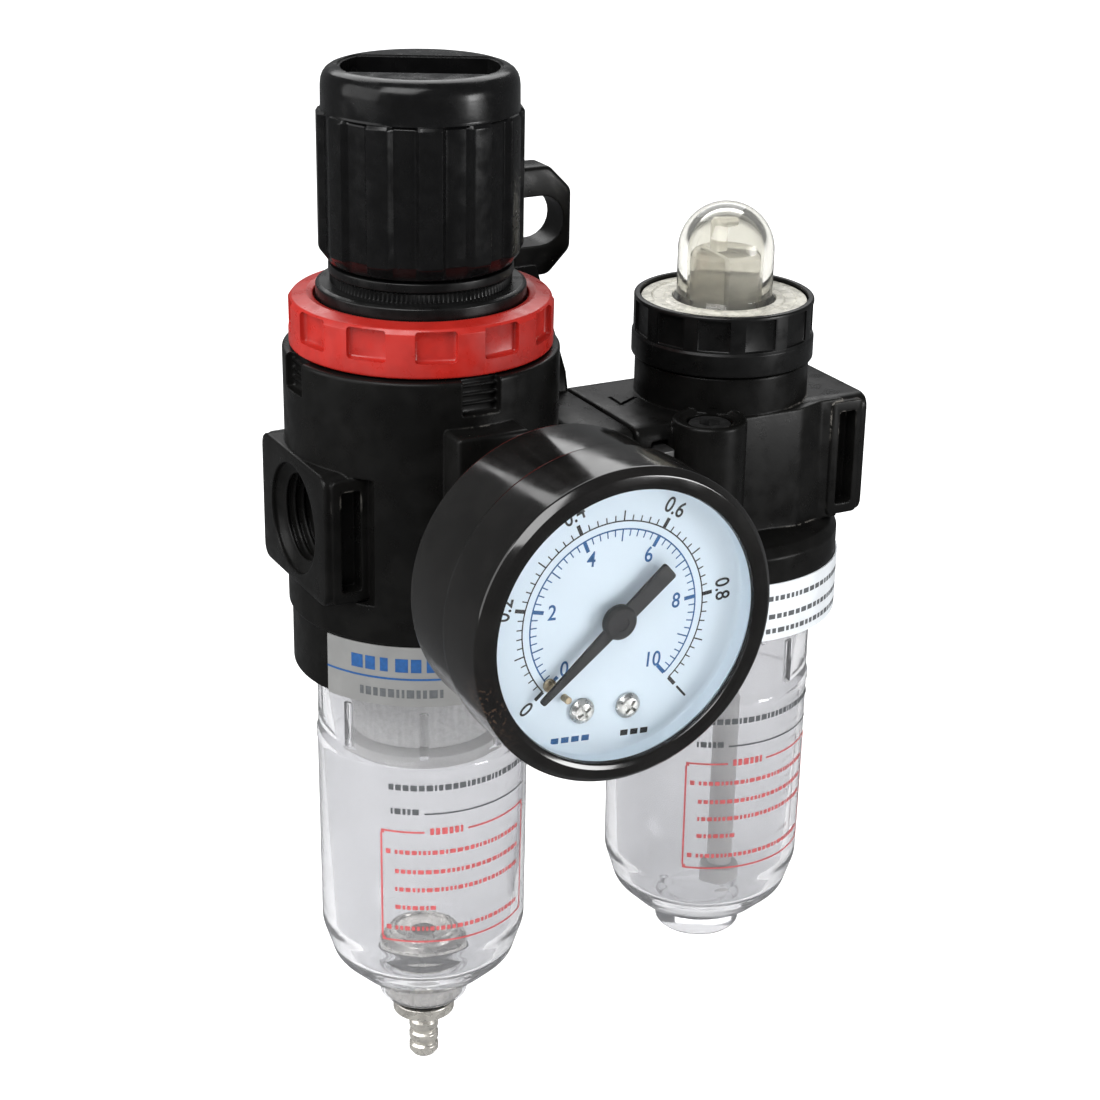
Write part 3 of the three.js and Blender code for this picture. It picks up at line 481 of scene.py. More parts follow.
def make_looks():
    casting = Look("painted_casting", (0.0036, 0.0035, 0.0033), 0.33, specular=0.14)
    casting.soft_edges(0.4).bumpy(0.35, 0.02, 0.35).bumpy(6, 0.1, 0.2)
    casting.uneven(3, 0.06).mottled(4, 0.6, 1.7)
    # Edge marks at chosen spots: partly wear, partly painted highlights where the edges catch light.
    casting.wear_and_painted_highlights(BARE_METAL_AND_HIGHLIGHT, (
        (fr_point(62, -12.5, 9.8), 0.009),
        (fr_point(70, -11.9, 9.8), 0.004),
        (fr_point(42, -19.5, 10.6), 0.005),
        (fr_point(0, -24, 17.3), 0.006),
        (fr_point(60, -16.5, -11.4), 0.008),
        (fr_point(-17, -12, 6), 0.003),
    ), 0.9)
    enamel = Look("gauge_enamel", (0.005, 0.0047, 0.0044), 0.13, specular=0.5)
    enamel.bumpy(1.1, 0.012, 0.1).uneven(4, 0.03).mottled(6, 0.6, 1.8)
    enamel.spot(fr_point(-19.5, -59, -5.5), 0.006, (0.06, 0.036, 0.024), 0.5, 0.7)
    enamel.spot(fr_point(-17.5, -57, -10), 0.005, (0.09, 0.055, 0.035), 0.4, 0.5)
    black = Look("black_plastic", (0.0034, 0.0034, 0.0035), 0.22, specular=0.2)
    black.soft_edges(0.15).bumpy(0.3, 0.01, 0.25).uneven(2.5, 0.06).mottled(2, 0.5, 1.6)
    looks = {"casting": casting, "enamel": enamel, "black": black}
    for key, (name, colour, roughness, bump, patchy, mottle, settings) in LOOK_TABLE.items():
        looks[key] = Look(name, colour, roughness, **settings).bumpy(*bump)
        if patchy:
            looks[key].uneven(*patchy)
        looks[key].mottled(*mottle)
    for key, colour in INKS.items():
        looks[key] = Look(key, colour, 0.5).bumpy(0.2, 0.004, 0.2).uneven(1, 0.1).mottled(0.6, 0.7, 1.35)
    return {key: look.material for key, look in looks.items()}


LOOKS = make_looks()


def look_of(name, look):
    """Gives a CAD node that stays in sight its own detailed material."""
    finish_mesh(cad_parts[name].data, look)


def smooth(low, high, value):
    """0 below low, 1 above high, eased between."""
    t = min(max((value - low) / (high - low), 0), 1)
    return t * t * (3 - 2 * t)


# ---- knob ----
KNOB_RIBS = 12
RIB_START = 11  # degrees to the middle of a rib
POCKET_TURN = math.radians(-28)
KNOB_FOOT, KNOB_CAP, KNOB_TOP = 36.5, 57.9, 63.8


def knob_flutes(r, z, angle):
    if r < 13.2 or z > KNOB_CAP - 0.01:
        return r
    pitch = 360 / KNOB_RIBS
    off_rib = abs((math.degrees(angle) - RIB_START + pitch / 2) % pitch - pitch / 2)
    flute = 0.85 * smooth(5.7, 9.2, off_rib)
    return r - flute * smooth(13.2, 14.2, r)


def build_knob():
    outline = [
        (0, 59.6), (5.7, 59.6), (5.7, 55), (6.6, 55, 0.3), (6.6, 57), (11.3, 57), (11.3, KNOB_FOOT, 0.2),
        (13.1, KNOB_FOOT, 0.3), (14.55, KNOB_FOOT + 1.9, 0.8), (14.55, KNOB_CAP - 0.5, 0.25),
        (14.25, KNOB_CAP - 0.03), (14.0, KNOB_CAP), (13.92, KNOB_CAP + 0.3, 0.1), (13.85, KNOB_TOP, 3.2),
        (0, KNOB_TOP),
    ]
    body = revolve(outline, KNOB_RIBS * 32, knob_flutes, steps=6)
    reach, half = 11.1, 6.3
    end = math.asin(half / reach)
    stadium = []
    for side in (0, math.pi):
        stadium += [(reach * math.cos(side + a), reach * math.sin(side + a))
                    for a in (end * (2 * k / 20 - 1) for k in range(21))]
    pocket = prism(stadium, KNOB_TOP - 2.9, KNOB_TOP + 1)
    lip = prism([(1.035 * x, 1.05 * y) for x, y in stadium], KNOB_TOP - 0.25, KNOB_TOP + 1)
    cut(body, moved(pocket, spun(POCKET_TURN)))
    cut(body, moved(lip, spun(POCKET_TURN)))
    show(body, "knob_body", IN_FR, "knob", "black", ["regulator_knob"])


def neck_serrations(r, z, angle):
    if 33.4 < z < 34.65 and r > 12.5:
        return r + 0.1 * math.cos(120 * angle)
    return r


def build_bonnet():
    outline = [
        (13.8, 28), (16.8, 28), (16.8, 29.6), (15.05, 29.8), (15.05, 33, 0.3), (14.5, 33.3, 0.2),
        (12.9, 33.35), (12.9, 33.5), (12.9, 34.5), (12.7, 34.7), (13.2, 34.9, 0.1),
        (13.2, 36.1, 0.2), (10.7, 36.1),
        (10.7, 52.6, 0.3), (3.4, 53, 0.2), (3.4, 51), (8.6, 51), (8.6, 34), (13.8, 31.5),
    ]
    show(revolve(outline, 480, neck_serrations), "bonnet_neck", IN_FR, "set", "bonnet",
         ["bonnet"])
    outline = [
        (17.2, 24.3), (19, 24.3, 0.4), (19.05, 30.6, 0.3), (18.5, 31.3, 0.5), (16.4, 31.75, 0.5),
        (15.4, 31.5, 0.3), (15.4, 29.9), (17.2, 29.9),
    ]
    nut = revolve(outline, 144)
    cut(nut, around(lambda: slab(-2.95, 2.95, -20, -17.8, 26.5, 31.0, 0.5), 12, 11.5))
    show(nut, "bonnet_nut_red", IN_FR, "set", "red", ["bonnet_ring_nut"])


# ---- castings, in millimetres about the port axis ----
BLOCK_Y, BLOCK_Z, BLOCK_R = 11.9, 9.8, 2.34  # half depth, half height and corner radius
THREAD_DEPTH = 12
SLOT_IN = 3.9  # keeper slot's middle, in from the port face
COLLAR_BORE = (16.6, -26, -13, 96)
SIPHON_Y = -6.2
PORT_FACE = 20.4


def block_x(x0, x1, edge=0.35):
    y, z = BLOCK_Y, BLOCK_Z
    outline = [(-z, -y, BLOCK_R), (z, -y, BLOCK_R), (z, y, BLOCK_R), (-z, y, BLOCK_R)]
    return moved(prism(outline, x0, x1, edge, steps=6), ALONG_X)


def thread_cutter(mouth_x, depth, inward):
    """Stepped mouth and thread turns of a port. inward is +1 or -1 along X from the mouth."""
    outline = [(0, -1), (8.2, -1), (8.2, 0.7), (7.3, 1.3)]
    pitch, z = 1.34, 1.5
    while z < depth:
        outline += [(6.4, z), (6.4, z + 0.15), (7.2, z + pitch / 2), (7.2, z + pitch / 2 + 0.12)]
        z += pitch
    outline += [(6.1, z), (6.1, depth + 2), (0, depth + 2)]
    cutter = revolve(outline, 64)
    turn = ALONG_X if inward > 0 else Matrix.Rotation(-math.pi / 2, 4, "Y")
    return moved(cutter, at(mouth_x) @ turn)


def on_side(side):
    """Turns what stands on +Z to the front (side -1) or the rear (side 1)."""
    return Matrix.Rotation(-side * math.pi / 2, 4, "X")


def window(x0, x1, half_z, radius):
    return [(x0, -half_z, radius), (x1, -half_z, radius), (x1, half_z, radius), (x0, half_z, radius)]


def keeper_slots(x):
    outline = window(x - 1.5, x + 1.5, 7.6, 0.5)
    return [moved(prism(outline, BLOCK_Y - 2.3, BLOCK_Y + 6), on_side(side)) for side in (-1, 1)]


def slot_frames(x):
    """Raised rims round the keeper slots."""
    outline = window(x - 2.9, x + 2.7, 9.3, 0.9)
    return [moved(prism(outline, BLOCK_Y - 0.5, BLOCK_Y + 0.3, 0.2), on_side(side)) for side in (-1, 1)]


def build_fr_casting():
    gauge_x = (GAUGE.x - FR.x) / MM
    gauge_z = (GAUGE.z - PORT_Z) / MM
    shell = revolve([
        (0, -25), (19.35, -25, 0.5), (19.35, -15.6, 0.2), (19.85, -15.1, 0.3), (20, 24, 0.5), (16.9, 24),
        (16.9, 27), (0, 27),
    ], 160)
    for sx in (-1, 1):
        for sy in (-1, 1):
            low_x, high_x = sorted((sx * 13.9, sx * (PORT_FACE + 2)))
            low_y, high_y = sorted((sy * BLOCK_Y, sy * 18))
            cut(shell, slab(low_x, high_x, low_y, high_y, -BLOCK_Z + 0.3, BLOCK_Z - 0.3))
    for quarter in range(4):
        bite = slab(-2.9, 2.9, -23, -18.4, 19, 26, 0.4)
        for k in range(3):
            bite = cut(bite, slab(-4, 4, -18.75, -18, 20.2 + 1.3 * k, 20.6 + 1.3 * k))
        cut(shell, moved(bite, spun(quarter * math.pi / 2)))
    boss = moved(rod(8, 17, 27, 64, 0.5), at(gauge_x, 0, gauge_z) @ UPRIGHT_TO_FRONT)
    join(shell, block_x(-PORT_FACE, PORT_FACE), boss, slab(-5.5, 5.5, -24, -17, -BLOCK_Z, 17.3, 0.6))
    join(shell, *slot_frames(-PORT_FACE + SLOT_IN))
    cut(
        shell,
        thread_cutter(-PORT_FACE, THREAD_DEPTH, 1),
        thread_cutter(PORT_FACE, THREAD_DEPTH, -1),
        moved(rod(3.6, -14, 0, 32), at(-10)),
        moved(rod(3.6, 0, 16, 32), at(10)),
        rod(4.5, -14, 5.9, 32),
        rod(2.6, 5, 8.4, 32),
        rod(4.5, 8, 16, 32),
        rod(14.2, 15, 28, 96),
        rod(*COLLAR_BORE),
        moved(rod(4.9, 10, 28, 48), at(gauge_x, 0, gauge_z) @ UPRIGHT_TO_FRONT),
        moved(rod(1.5, gauge_z, 16, 24), at(0, -11.5)),
    )
    for x in (-PORT_FACE + SLOT_IN, PORT_FACE - SLOT_IN):
        cut(shell, *keeper_slots(x))
    show(shell, "fr_casting", IN_FR, "set", "casting", ["fr_housing"])


def build_lub_casting():
    joint_x, outlet_x = 29.6 - SPACING, 70.8 - SPACING
    plug = (41 - SPACING, -13.5)
    shell = revolve([
        (0, -25), (19.35, -25, 0.5), (19.35, -11.6, 0.6), (18.3, -10.2, 0.8), (13.4, -9),
        (13.4, 15.6, 0.3),
        (11.9, 15.6), (11.9, 21.2), (0, 21.2),
    ], 160)
    boss = revolve([(0, -12), (5.6, -12), (5.6, 10.6, 0.6), (4.6, 10.6, 0.3), (4.2, 10.1),
                    (0, 10.1)], 64)
    moved(boss, at(*plug))
    front = [(36, -11), (36, -13.6), (57.5, -13.6, 4), (62, -BLOCK_Y, 3), (66, -BLOCK_Y), (66, -11)]
    front = prism([(x - SPACING, *rest) for x, *rest in front], -BLOCK_Z, BLOCK_Z, 0.3)
    join(shell, block_x(joint_x, outlet_x, 0.6), front, boss)
    join(shell, *slot_frames(outlet_x - SLOT_IN))
    strokes = []
    for x0, y0, x1, y1 in ((33.2, -0.3, 33.4, 3.3), (33.2, -0.3, 36.8, 1.7)):
        length = math.hypot(x1 - x0, y1 - y0)
        stroke = slab(-0.3, length + 0.3, -0.3, 0.3, BLOCK_Z - 0.4, BLOCK_Z + 1)
        turned = spun(math.atan2(y1 - y0, x1 - x0))
        strokes.append(moved(stroke, at(x0 - SPACING, y0) @ turned))
    cut(
        shell,
        thread_cutter(outlet_x, THREAD_DEPTH, -1),
        moved(rod(6.5, joint_x - 1, -8, 64), ALONG_X),
        moved(rod(3, -9, 9, 32), ALONG_X),
        rod(9.3, 8, 22, 64),
        rod(1, 0, 9, 20),
        moved(rod(2.3, -14, 9, 32), at(0, SIPHON_Y)),
        rod(*COLLAR_BORE),
        moved(rod(3.5, -8, 11, 48), at(*plug)),
        moved(rod(1.8, -14, -7, 24), at(43.4 - SPACING, -10.6)),
        *strokes,
    )
    for x in (joint_x + SLOT_IN, outlet_x - SLOT_IN):
        cut(shell, *keeper_slots(x))
    show(shell, "lub_casting", IN_LUB, "set", "casting", ["lubricator_housing"])
    filler = cut(rod(3.2, 3, 9.9, 48, 0.3), revolve([(0, 7.4), (1.75, 7.4), (1.75, 11), (0, 11)], 6))
    show(moved(filler, at(*plug)), "fill_plug", IN_LUB, "set", "dark_steel", ["oil_fill_plug"])


def build_bracket():
    x0, x1 = PORT_FACE + 0.3, 29.3
    ear_x, front_y, back_y = 25, 20, 25.5
    spacer = block_x(x0, x1, 0.7)
    side = [(8, 7), (9.6, 12.8), (18.8, 25.4), (20, 27), (back_y, 27), (back_y, 22.5),
            (14.8, 7.9), (11, 7.9)]
    strut = moved(prism([(-z, y) for y, z in side], x0 + 0.2, x1 - 0.2, 0.5), ALONG_X)
    c, left, right, z0, z1 = 3.9, ear_x - 10, ear_x + 10, 25.2, 42.5
    corners = [(left + c, z0), (right - c, z0), (right, z0 + c), (right, z1 - c), (right - c, z1),
               (left + c, z1), (left, z1 - c), (left, z0 + c)]
    ear = prism([(*p, 2.2) for p in corners], -back_y, -front_y, 0.7, steps=5)
    moved(ear, UPRIGHT_TO_FRONT)
    join(spacer, strut, ear)
    slot_r, slot_half, slot_z = 3.9, 4.7, 34
    outline = []
    for end, start in ((slot_half, -90), (-slot_half, 90)):
        outline += [(ear_x + end + slot_r * math.cos(a), slot_z + slot_r * math.sin(a))
                    for a in (math.radians(start + 15 * k) for k in range(13))]
    tools = [
        moved(prism(outline, -back_y - 1, -front_y + 1), UPRIGHT_TO_FRONT),
        moved(rod(6.5, x0 - 1, x1 + 1, 64), ALONG_X),
        moved(revolve([(7.5, x0 - 1), (9.5, x0 - 1), (9.5, x0 + 1.3), (7.5, x0 + 1.3)], 64), ALONG_X),
        moved(revolve([(7.5, x1 - 1.3), (9.5, x1 - 1.3), (9.5, x1 + 1), (7.5, x1 + 1)], 64), ALONG_X),
        moved(rod(2.1, -BLOCK_Y - 1, -7.6, 32), at(ear_x) @ on_side(1)),
        moved(rod(2.1, 7.6, BLOCK_Y + 1, 32), at(ear_x) @ on_side(1)),
    ]
    cut(spacer, *tools)
    show(spacer, "bracket_casting", IN_FR, "set", "casting", ["mounting_bracket"])
    for sign, where in ((-1, "front"), (1, "rear")):
        half = 6.9
        low, high = PORT_FACE - 5, 29.6 + 5
        bar = slab(low, high, BLOCK_Y + 0.3, BLOCK_Y + 2.6, -half, half, 0.3)
        join(bar, slab(low, low + 2.2, BLOCK_Y - 1.7, BLOCK_Y + 2.5, -half, half, 0.2),
             slab(high - 2.2, high, BLOCK_Y - 1.7, BLOCK_Y + 2.5, -half, half, 0.2))
        cut(bar, moved(rod(2.2, BLOCK_Y - 1, BLOCK_Y + 4, 32), at(ear_x) @ on_side(1)))
        flip = Matrix.Diagonal((1, sign, 1, 1))
        show(outward(moved(bar, flip)), "keeper_" + where, IN_FR, "set", "dark_steel",
             ["joint_keeper_" + where])
        screw = revolve([(0, 8), (1.8, 8), (1.8, 14.7), (3.3, 14.7, 0.2), (3.3, 16.4, 0.4),
                         (2.6, 17.2, 0.4),
                         (0, 17.2)], 48)
        cut(screw, join(slab(-1.7, 1.7, -0.35, 0.35, 15.9, 18), slab(-0.35, 0.35, -1.7, 1.7, 15.9, 18)))
        moved(screw, at(ear_x) @ on_side(sign))
        show(screw, "keeper_bolt_" + where, IN_FR, "set", "dark_steel",
             ["keeper_screw_" + where])


# ---- bands and marks on round faces ----
def band(radius_at, a0, a1, z0, z1, thick, steps=2, rows=1):
    """Thin patch wrapped on a round face, from angle a0 to a1 in degrees off the front."""
    verts, faces = [], []
    for layer in (0, thick):
        for row in range(rows + 1):
            z = z0 + (z1 - z0) * row / rows
            for k in range(steps + 1):
                a = math.radians(a0 + (a1 - a0) * k / steps - 90)
                r = radius_at(z) + layer
                verts.append((r * math.cos(a), r * math.sin(a), z))
    wide = steps + 1
    top = wide * (rows + 1)
    for row in range(rows):
        for k in range(steps):
            i = row * wide + k
            faces.append((i, i + 1, i + 1 + wide, i + wide))
            faces.append((top + i, top + i + wide, top + i + 1 + wide, top + i + 1))
    rim = [k for k in range(wide)]
    rim += [row * wide + steps for row in range(1, rows + 1)]
    rim += [rows * wide + k for k in range(steps - 1, -1, -1)]
    rim += [row * wide for row in range(rows - 1, 0, -1)]
    for i, j in zip(rim, rim[1:] + rim[:1]):
        faces.append((i, top + i, top + j, j))
    return outward(new_object("band", verts, faces))


SHORTEST_BAR, BAR_GAP = 1.1, 1.0  # degrees


def dashes(radius_at, rows, thick, seed, look, name, place, body, longest=3.6):
    """Rows of plain bars for small print. A row is (start, end, height, size) in degrees and mm."""
    rng = random.Random(seed)
    parts = []
    for start, end, z, size in rows:
        a = start
        while a < end:
            wide = min(rng.uniform(SHORTEST_BAR, longest), end - a)
            steps = max(1, int(wide // 2))
            parts.append(band(radius_at, a, a + wide, z - size / 2, z + size / 2, thick, steps))
            a += wide + BAR_GAP
    show(together(*parts), name, place, body, look)


def bowl_radius(z):
    """Outer radius of a bowl's slightly drawn-in wall, just clear of it."""
    return 16.23 - 0.3 * (-38 - z) / 32


def build_bowl(name, place, body, node, drained):
    outline = [
        (15.6, -13.4, 0.2), (15.95, -14.9, 0.1), (14.8, -14.9), (14.8, -16.7), (16.1, -16.7, 0.2),
        (16.22, -26.5, 0.1), (15.95, -27), (15.95, -36.4), (16.22, -37.2, 0.2), (16.22, -38.0),
        (16.08, -38.3), (15.9, -70, 4), (14.2, -75.4, 3), (10.3, -79.2, 3), (7.15, -80.4, 0.8),
        (6.95, -83.8, 0.4),
        (6.5, -84.2, 0.2),
    ]
    if drained:
        inner = [(6.2, -84.2), (6.2, -77.4, 0.3)]
    else:
        inner = [(0, -84.2), (0, -82), (5.2, -82, 0.6), (5.2, -77.9, 0.4)]
    inner += [(7.6, -77.4, 2), (12.2, -74.6, 3), (13.8, -69.4, 3), (14.3, -38, 0.5), (13.5, -36.6, 0.4),
              (13.5, -13.4)]
    path = [*inner, *outline] if drained else [*inner[1:], *outline, inner[0]]
    bowl = revolve(path, 128, steps=5)
    cut(bowl, around(lambda: slab(-0.65, 0.65, -17, -14.9, -35.4, -28, 0.25), 8, 21))
    show(bowl, name, place, body, "clear", [node])


def build_print(name, place, body, left):
    """Generic marks on a bowl: a rule, a red frame with an open top, and rows of plain bars."""
    thick = 0.05
    right = left + 92
    dashes(bowl_radius, [(left + 5, right, -39.9, 0.95), (left + 6, left + 21, -43.9, 0.95)], thick, 5,
           "ink_grey", name + "_bars", place, body)
    rule = band(bowl_radius, left + 24, right, -44.35, -44.1, thick, 24)
    show(rule, name + "_rule", place, body, "ink_grey")
    top, bottom, line = -47.2, -66.3, 0.28
    corner = 2.2
    frame_parts = [
        band(bowl_radius, left + corner, left + 24, top - line, top, thick, 10),
        band(bowl_radius, left + 48, right - corner, top - line, top, thick, 18),
        band(bowl_radius, left + corner, right - corner, bottom, bottom + line, thick, 36),
        band(bowl_radius, left, left + 1, bottom + 0.6, top - 0.6, thick, 1, 12),
        band(bowl_radius, right - 1, right, bottom + 0.6, top - 0.6, thick, 1, 12),
    ]
    for a in (left, right):
        for z in (top, bottom):
            inward = 1 if a == left else -1
            down = -1 if z == top else 1
            a0, a1 = sorted((a + inward * 0.4, a + inward * corner))
            z0, z1 = sorted((z, z + down * 0.62))
            frame_parts.append(band(bowl_radius, a0, a1, z0, z1, thick, 1))
    show(together(*frame_parts), name + "_frame", place, body, "ink_red")
    rows = [(left + 27, left + 45, top, 1.1)]
    for k, z in enumerate((-50.8, -54.1, -57.2, -60.3, -63.9)):
        rows.append((left + 8, left + 30 if k == 3 else right - 6, z, 0.68))
    dashes(bowl_radius, rows, thick, 11, "ink_red", name + "_rows", place, body, 3.2)
    dots = [band(bowl_radius, left + 3, left + 5.6, z - 0.38, z + 0.38, thick, 1)
            for z in (-50.8, -63.9)]
    show(together(*dots), name + "_dots", place, body, "ink_red")


def label_radius(z):
    return 19.45


def print_radius(z):
    """Outer face of a label sheet, where its marks sit."""
    return 19.68


def build_labels():
    for name, place, node, look in (
        ("fr_label", IN_FR, "fr_label_band", "foil"),
        ("lub_label", IN_LUB, "lub_label_band", "pale_foil"),
    ):
        sheet = band(label_radius, -69, 69, -24.9, -15.6, 0.22, 60)
        show(sheet, name, place, "set", look, [node])

    line = band(print_radius, -69, 69, -20.75, -20.45, 0.02, 60)
    show(line, "fr_label_line", IN_FR, "set", "ink_sky")
    bars = [band(print_radius, -56 + 6.6 * k, -50.6 + 6.6 * k - k % 3, -19.5, -17.4, 0.02, 4)
            for k in range(8)]
    show(together(*bars), "fr_label_bars", IN_FR, "set", "ink_sky")
    dashes(print_radius, [(-52, -16, -22.9, 1.3)], 0.02, 3, "ink_grey", "fr_label_dashes", IN_FR, "set",
           3.5)
    dashes(print_radius, [(-30, 50, -18.0, 0.8), (-30, 50, -21.0, 0.8), (-12, 50, -23.4, 0.8)], 0.02, 4,
           "ink_grey", "lub_label_dashes", IN_LUB, "set", 3.5)
    stripe = band(print_radius, -34.6, -34.0, -24.4, -15.7, 0.02, 1)
    show(stripe, "lub_label_stripe", IN_LUB, "set", "ink_sky")


# ---- filter and drain ----
def build_filter():
    def pleats(r, z, angle):
        return r + (0.1 * math.cos(48 * angle) if r > 9 else 0)

    element = revolve([(6, -36), (10.4, -36, 0.3), (10.4, -19.8, 0.3), (6, -19.8)], 288, pleats)
    show(element, "filter_element_sleeve", IN_FR, "set", "medium", ["filter_element"])
    baffle = revolve([
        (0, -39.2), (10.4, -39.2, 0.5), (11.8, -38.2, 0.5), (11.8, -36.9, 0.3), (8.4, -36.3),
        (1.5, -36.3),
        (1.5, -14.2, 0.2), (0, -14.2),
    ], 96)
    show(baffle, "element_baffle_disc", IN_FR, "set", "white", ["element_baffle"])
    disc = revolve([
        (6.2, -19.5), (11.8, -19.5, 0.3), (12.8, -18.6, 0.4), (12.8, -17.3, 0.2), (6.2, -17.3),
    ], 96)
    cut(disc, around(lambda: slab(-0.8, 0.8, 10.2, 14, -21, -16), 8))
    show(disc, "air_deflector_disc", IN_FR, "set", "white", ["air_deflector"])
    seat = revolve([
        (3.1, -84.1), (6, -84.1, 0.2), (6, -75.9, 0.3), (6.9, -75.7, 0.2), (6.9, -74.1, 0.5),
        (5.7, -73.2, 0.6), (5.5, -72.4, 0.5), (4.6, -72.1, 0.2), (4.4, -72.6, 0.2), (2, -72.9),
        (2, -76.6), (3.1, -76.6),
    ], 96)
    show(seat, "drain_seat", IN_FR, "filter_bowl_set", "nickel", ["drain_valve_body"])
    show(ring(6.62, 0.56, -76.3), "drain_ring", IN_FR, "filter_bowl_set", "rubber",
         ["drain_o_ring"])
    seal = revolve([(3.4, -85.6), (5, -85.6, 0.3), (5, -84.6, 0.3), (3.4, -84.6)], 96)
    show(seal, "drain_washer", IN_FR, "filter_bowl_set", "rubber", ["drain_seal"])
    nipple = revolve([
        (1.2, -96.3), (1.75, -96.3, 0.2), (2.35, -95.5, 0.2), (2.35, -94.5, 0.2), (1.95, -94.1, 0.2),
        (2.35, -93.3, 0.2), (2.35, -92.3, 0.2), (1.95, -91.9, 0.2), (2.35, -91.1, 0.2),
        (2.35, -90.1, 0.2),
        (2.0, -89.6, 0.2), (2.0, -88.9, 0.2), (3.3, -88.8, 0.2), (3.4, -87.9, 0.2), (4.9, -87.7, 0.2),
        (4.9, -85.9, 0.3), (2.8, -85.9), (2.8, -77.6, 0.3), (1.2, -77.6),
    ], 96)
    show(nipple, "drain_spout", IN_FR, "drain", "nickel", ["drain_nipple"])


# ---- gauge ----
DIAL_FACE = 55.9
ZERO, SWEEP = math.radians(225), math.radians(270)


def wedge(r0, r1, angle, half_width, thick):
    """Flat tick between two radii."""
    bar = slab(r0, r1, -half_width, half_width, DIAL_FACE, DIAL_FACE + thick)
    return moved(bar, spun(angle))


def arc_strip(r0, r1, thick):
    """Thin arc over the dial's sweep."""
    steps = 96
    verts, faces = [], []
    for k in range(steps + 1):
        a = ZERO - SWEEP * k / steps
        for r in (r0, r1):
            for z in (DIAL_FACE, DIAL_FACE + thick):
                verts.append((r * math.cos(a), r * math.sin(a), z))
    for k in range(steps):
        i = 4 * k
        for a, b in ((0, 1), (1, 3), (3, 2), (2, 0)):
            faces.append((i + a, i + b, i + 4 + b, i + 4 + a))
    faces += [(0, 1, 3, 2), (4 * steps, 4 * steps + 1, 4 * steps + 3, 4 * steps + 2)]
    return outward(new_object("arc", verts, faces))


def numeral(text, size, radius, angle, follow):
    """A number on the dial. follow turns it to stand along the arc."""
    curve = bpy.data.curves.new("numeral", "FONT")
    curve.body = text
    curve.size = size
    curve.extrude = 0.015
    curve.offset = 0.03
    curve.align_x = "CENTER"
    curve.align_y = "CENTER"
    source = bpy.data.objects.new("numeral", curve)
    bpy.context.scene.collection.objects.link(source)
    graph = bpy.context.evaluated_depsgraph_get()
    mesh = bpy.data.meshes.new_from_object(source.evaluated_get(graph))
    bpy.data.objects.remove(source)
    obj = bpy.data.objects.new("numeral", mesh)
    bpy.context.scene.collection.objects.link(obj)
    turn = angle - math.pi / 2 if follow else 0
    slim = Matrix.Diagonal((0.86, 1, 1, 1))
    spot = at(radius * math.cos(angle), radius * math.sin(angle), DIAL_FACE + 0.016)
    return moved(obj, spot @ spun(turn) @ slim)


def build_dial():
    plate = revolve([
        (0, 55.3), (19.6, 55.3), (19.6, 58.2), (19.25, 58.2), (18.9, DIAL_FACE + 0.4, 0.4),
        (18.3, DIAL_FACE),
        (0, DIAL_FACE),
    ], 128)
    show(plate, "dial_plate", IN_GAUGE, "set", "dial", ["gauge_dial"])
    outer, inner = 13.15, 12.05
    black = [arc_strip(outer - 0.09, outer + 0.09, 0.02)]
    blue = [arc_strip(inner - 0.1, inner + 0.1, 0.02)]
    for k in range(51):
        angle = ZERO - SWEEP * k / 50
        if k % 10 == 0:
            out, inwards, half = 1.45, 1.6, 0.26
        elif k % 10 == 5:
            out, inwards, half = 1.4, 1.65, 0.09
        else:
            out, inwards, half = 0.8, 0.95, 0.08
        black.append(wedge(outer, outer + out, angle, half, 0.025))
        blue.append(wedge(inner - inwards, inner, angle, half, 0.025))
    show(together(*black), "dial_scale_outer", IN_GAUGE, "set", "ink_black")
    show(together(*blue), "dial_scale_inner", IN_GAUGE, "set", "ink_blue")
    outside = [numeral(t, 3.0, 16.1, ZERO - SWEEP * k / 5, True)
               for k, t in enumerate(("0", "0.2", "0.4", "0.6", "0.8", "1"))]
    show(together(*outside), "dial_numbers_outer", IN_GAUGE, "set", "ink_black")
    inside = [numeral(str(2 * k), 2.95, 9.2, ZERO - SWEEP * k / 5, False) for k in range(6)]
    show(together(*inside), "dial_numbers_inner", IN_GAUGE, "set", "ink_blue")
    for ink, starts in (("blue", (-7.4, -5.9, -4.4, -2.9)), ("black", (2.9, 4.4, 5.9))):
        bars = [slab(x, x + 1.1, -16.9, -16.1, DIAL_FACE, DIAL_FACE + 0.02) for x in starts]
        show(together(*bars), "dial_bars_" + ink, IN_GAUGE, "set", "ink_" + ink)
    for name, x, turn in (("left", -3.4, 0.6), ("right", 3.4, 1.0)):
        head = revolve([
            (0, 54.7), (0.75, 54.7), (0.75, 55.95), (1.75, 55.95, 0.1), (1.75, 56.35, 0.25),
            (1.2, 56.85, 0.4),
            (0, 57.05),
        ], 48)
        cross = join(slab(-1.05, 1.05, -0.2, 0.2, 56.35, 58), slab(-0.2, 0.2, -1.05, 1.05, 56.35, 58))
        cut(head, moved(cross, spun(turn)))
        show(moved(head, at(x, -12.5)), "dial_bolt_" + name, IN_GAUGE, "set", "steel",
             ["dial_screw_" + name])
    pin = moved(rod(0.5, 54.7, 57.2, 24, 0.15), at(-6.1, -10.4))
    show(pin, "dial_stop_pin", IN_GAUGE, "set", "brass", ["pointer_stop_pin"])
    rivet = revolve([(0, 54.7), (0.5, 54.7), (0.5, 55.95), (0.9, 55.95), (0.9, 56.3, 0.2),
                     (0.5, 56.55, 0.2),
                     (0, 56.6)], 32)
    show(moved(rivet, at(-8.5, -8.4)), "dial_rivet_head", IN_GAUGE, "set", "brass",
         ["dial_rivet"])


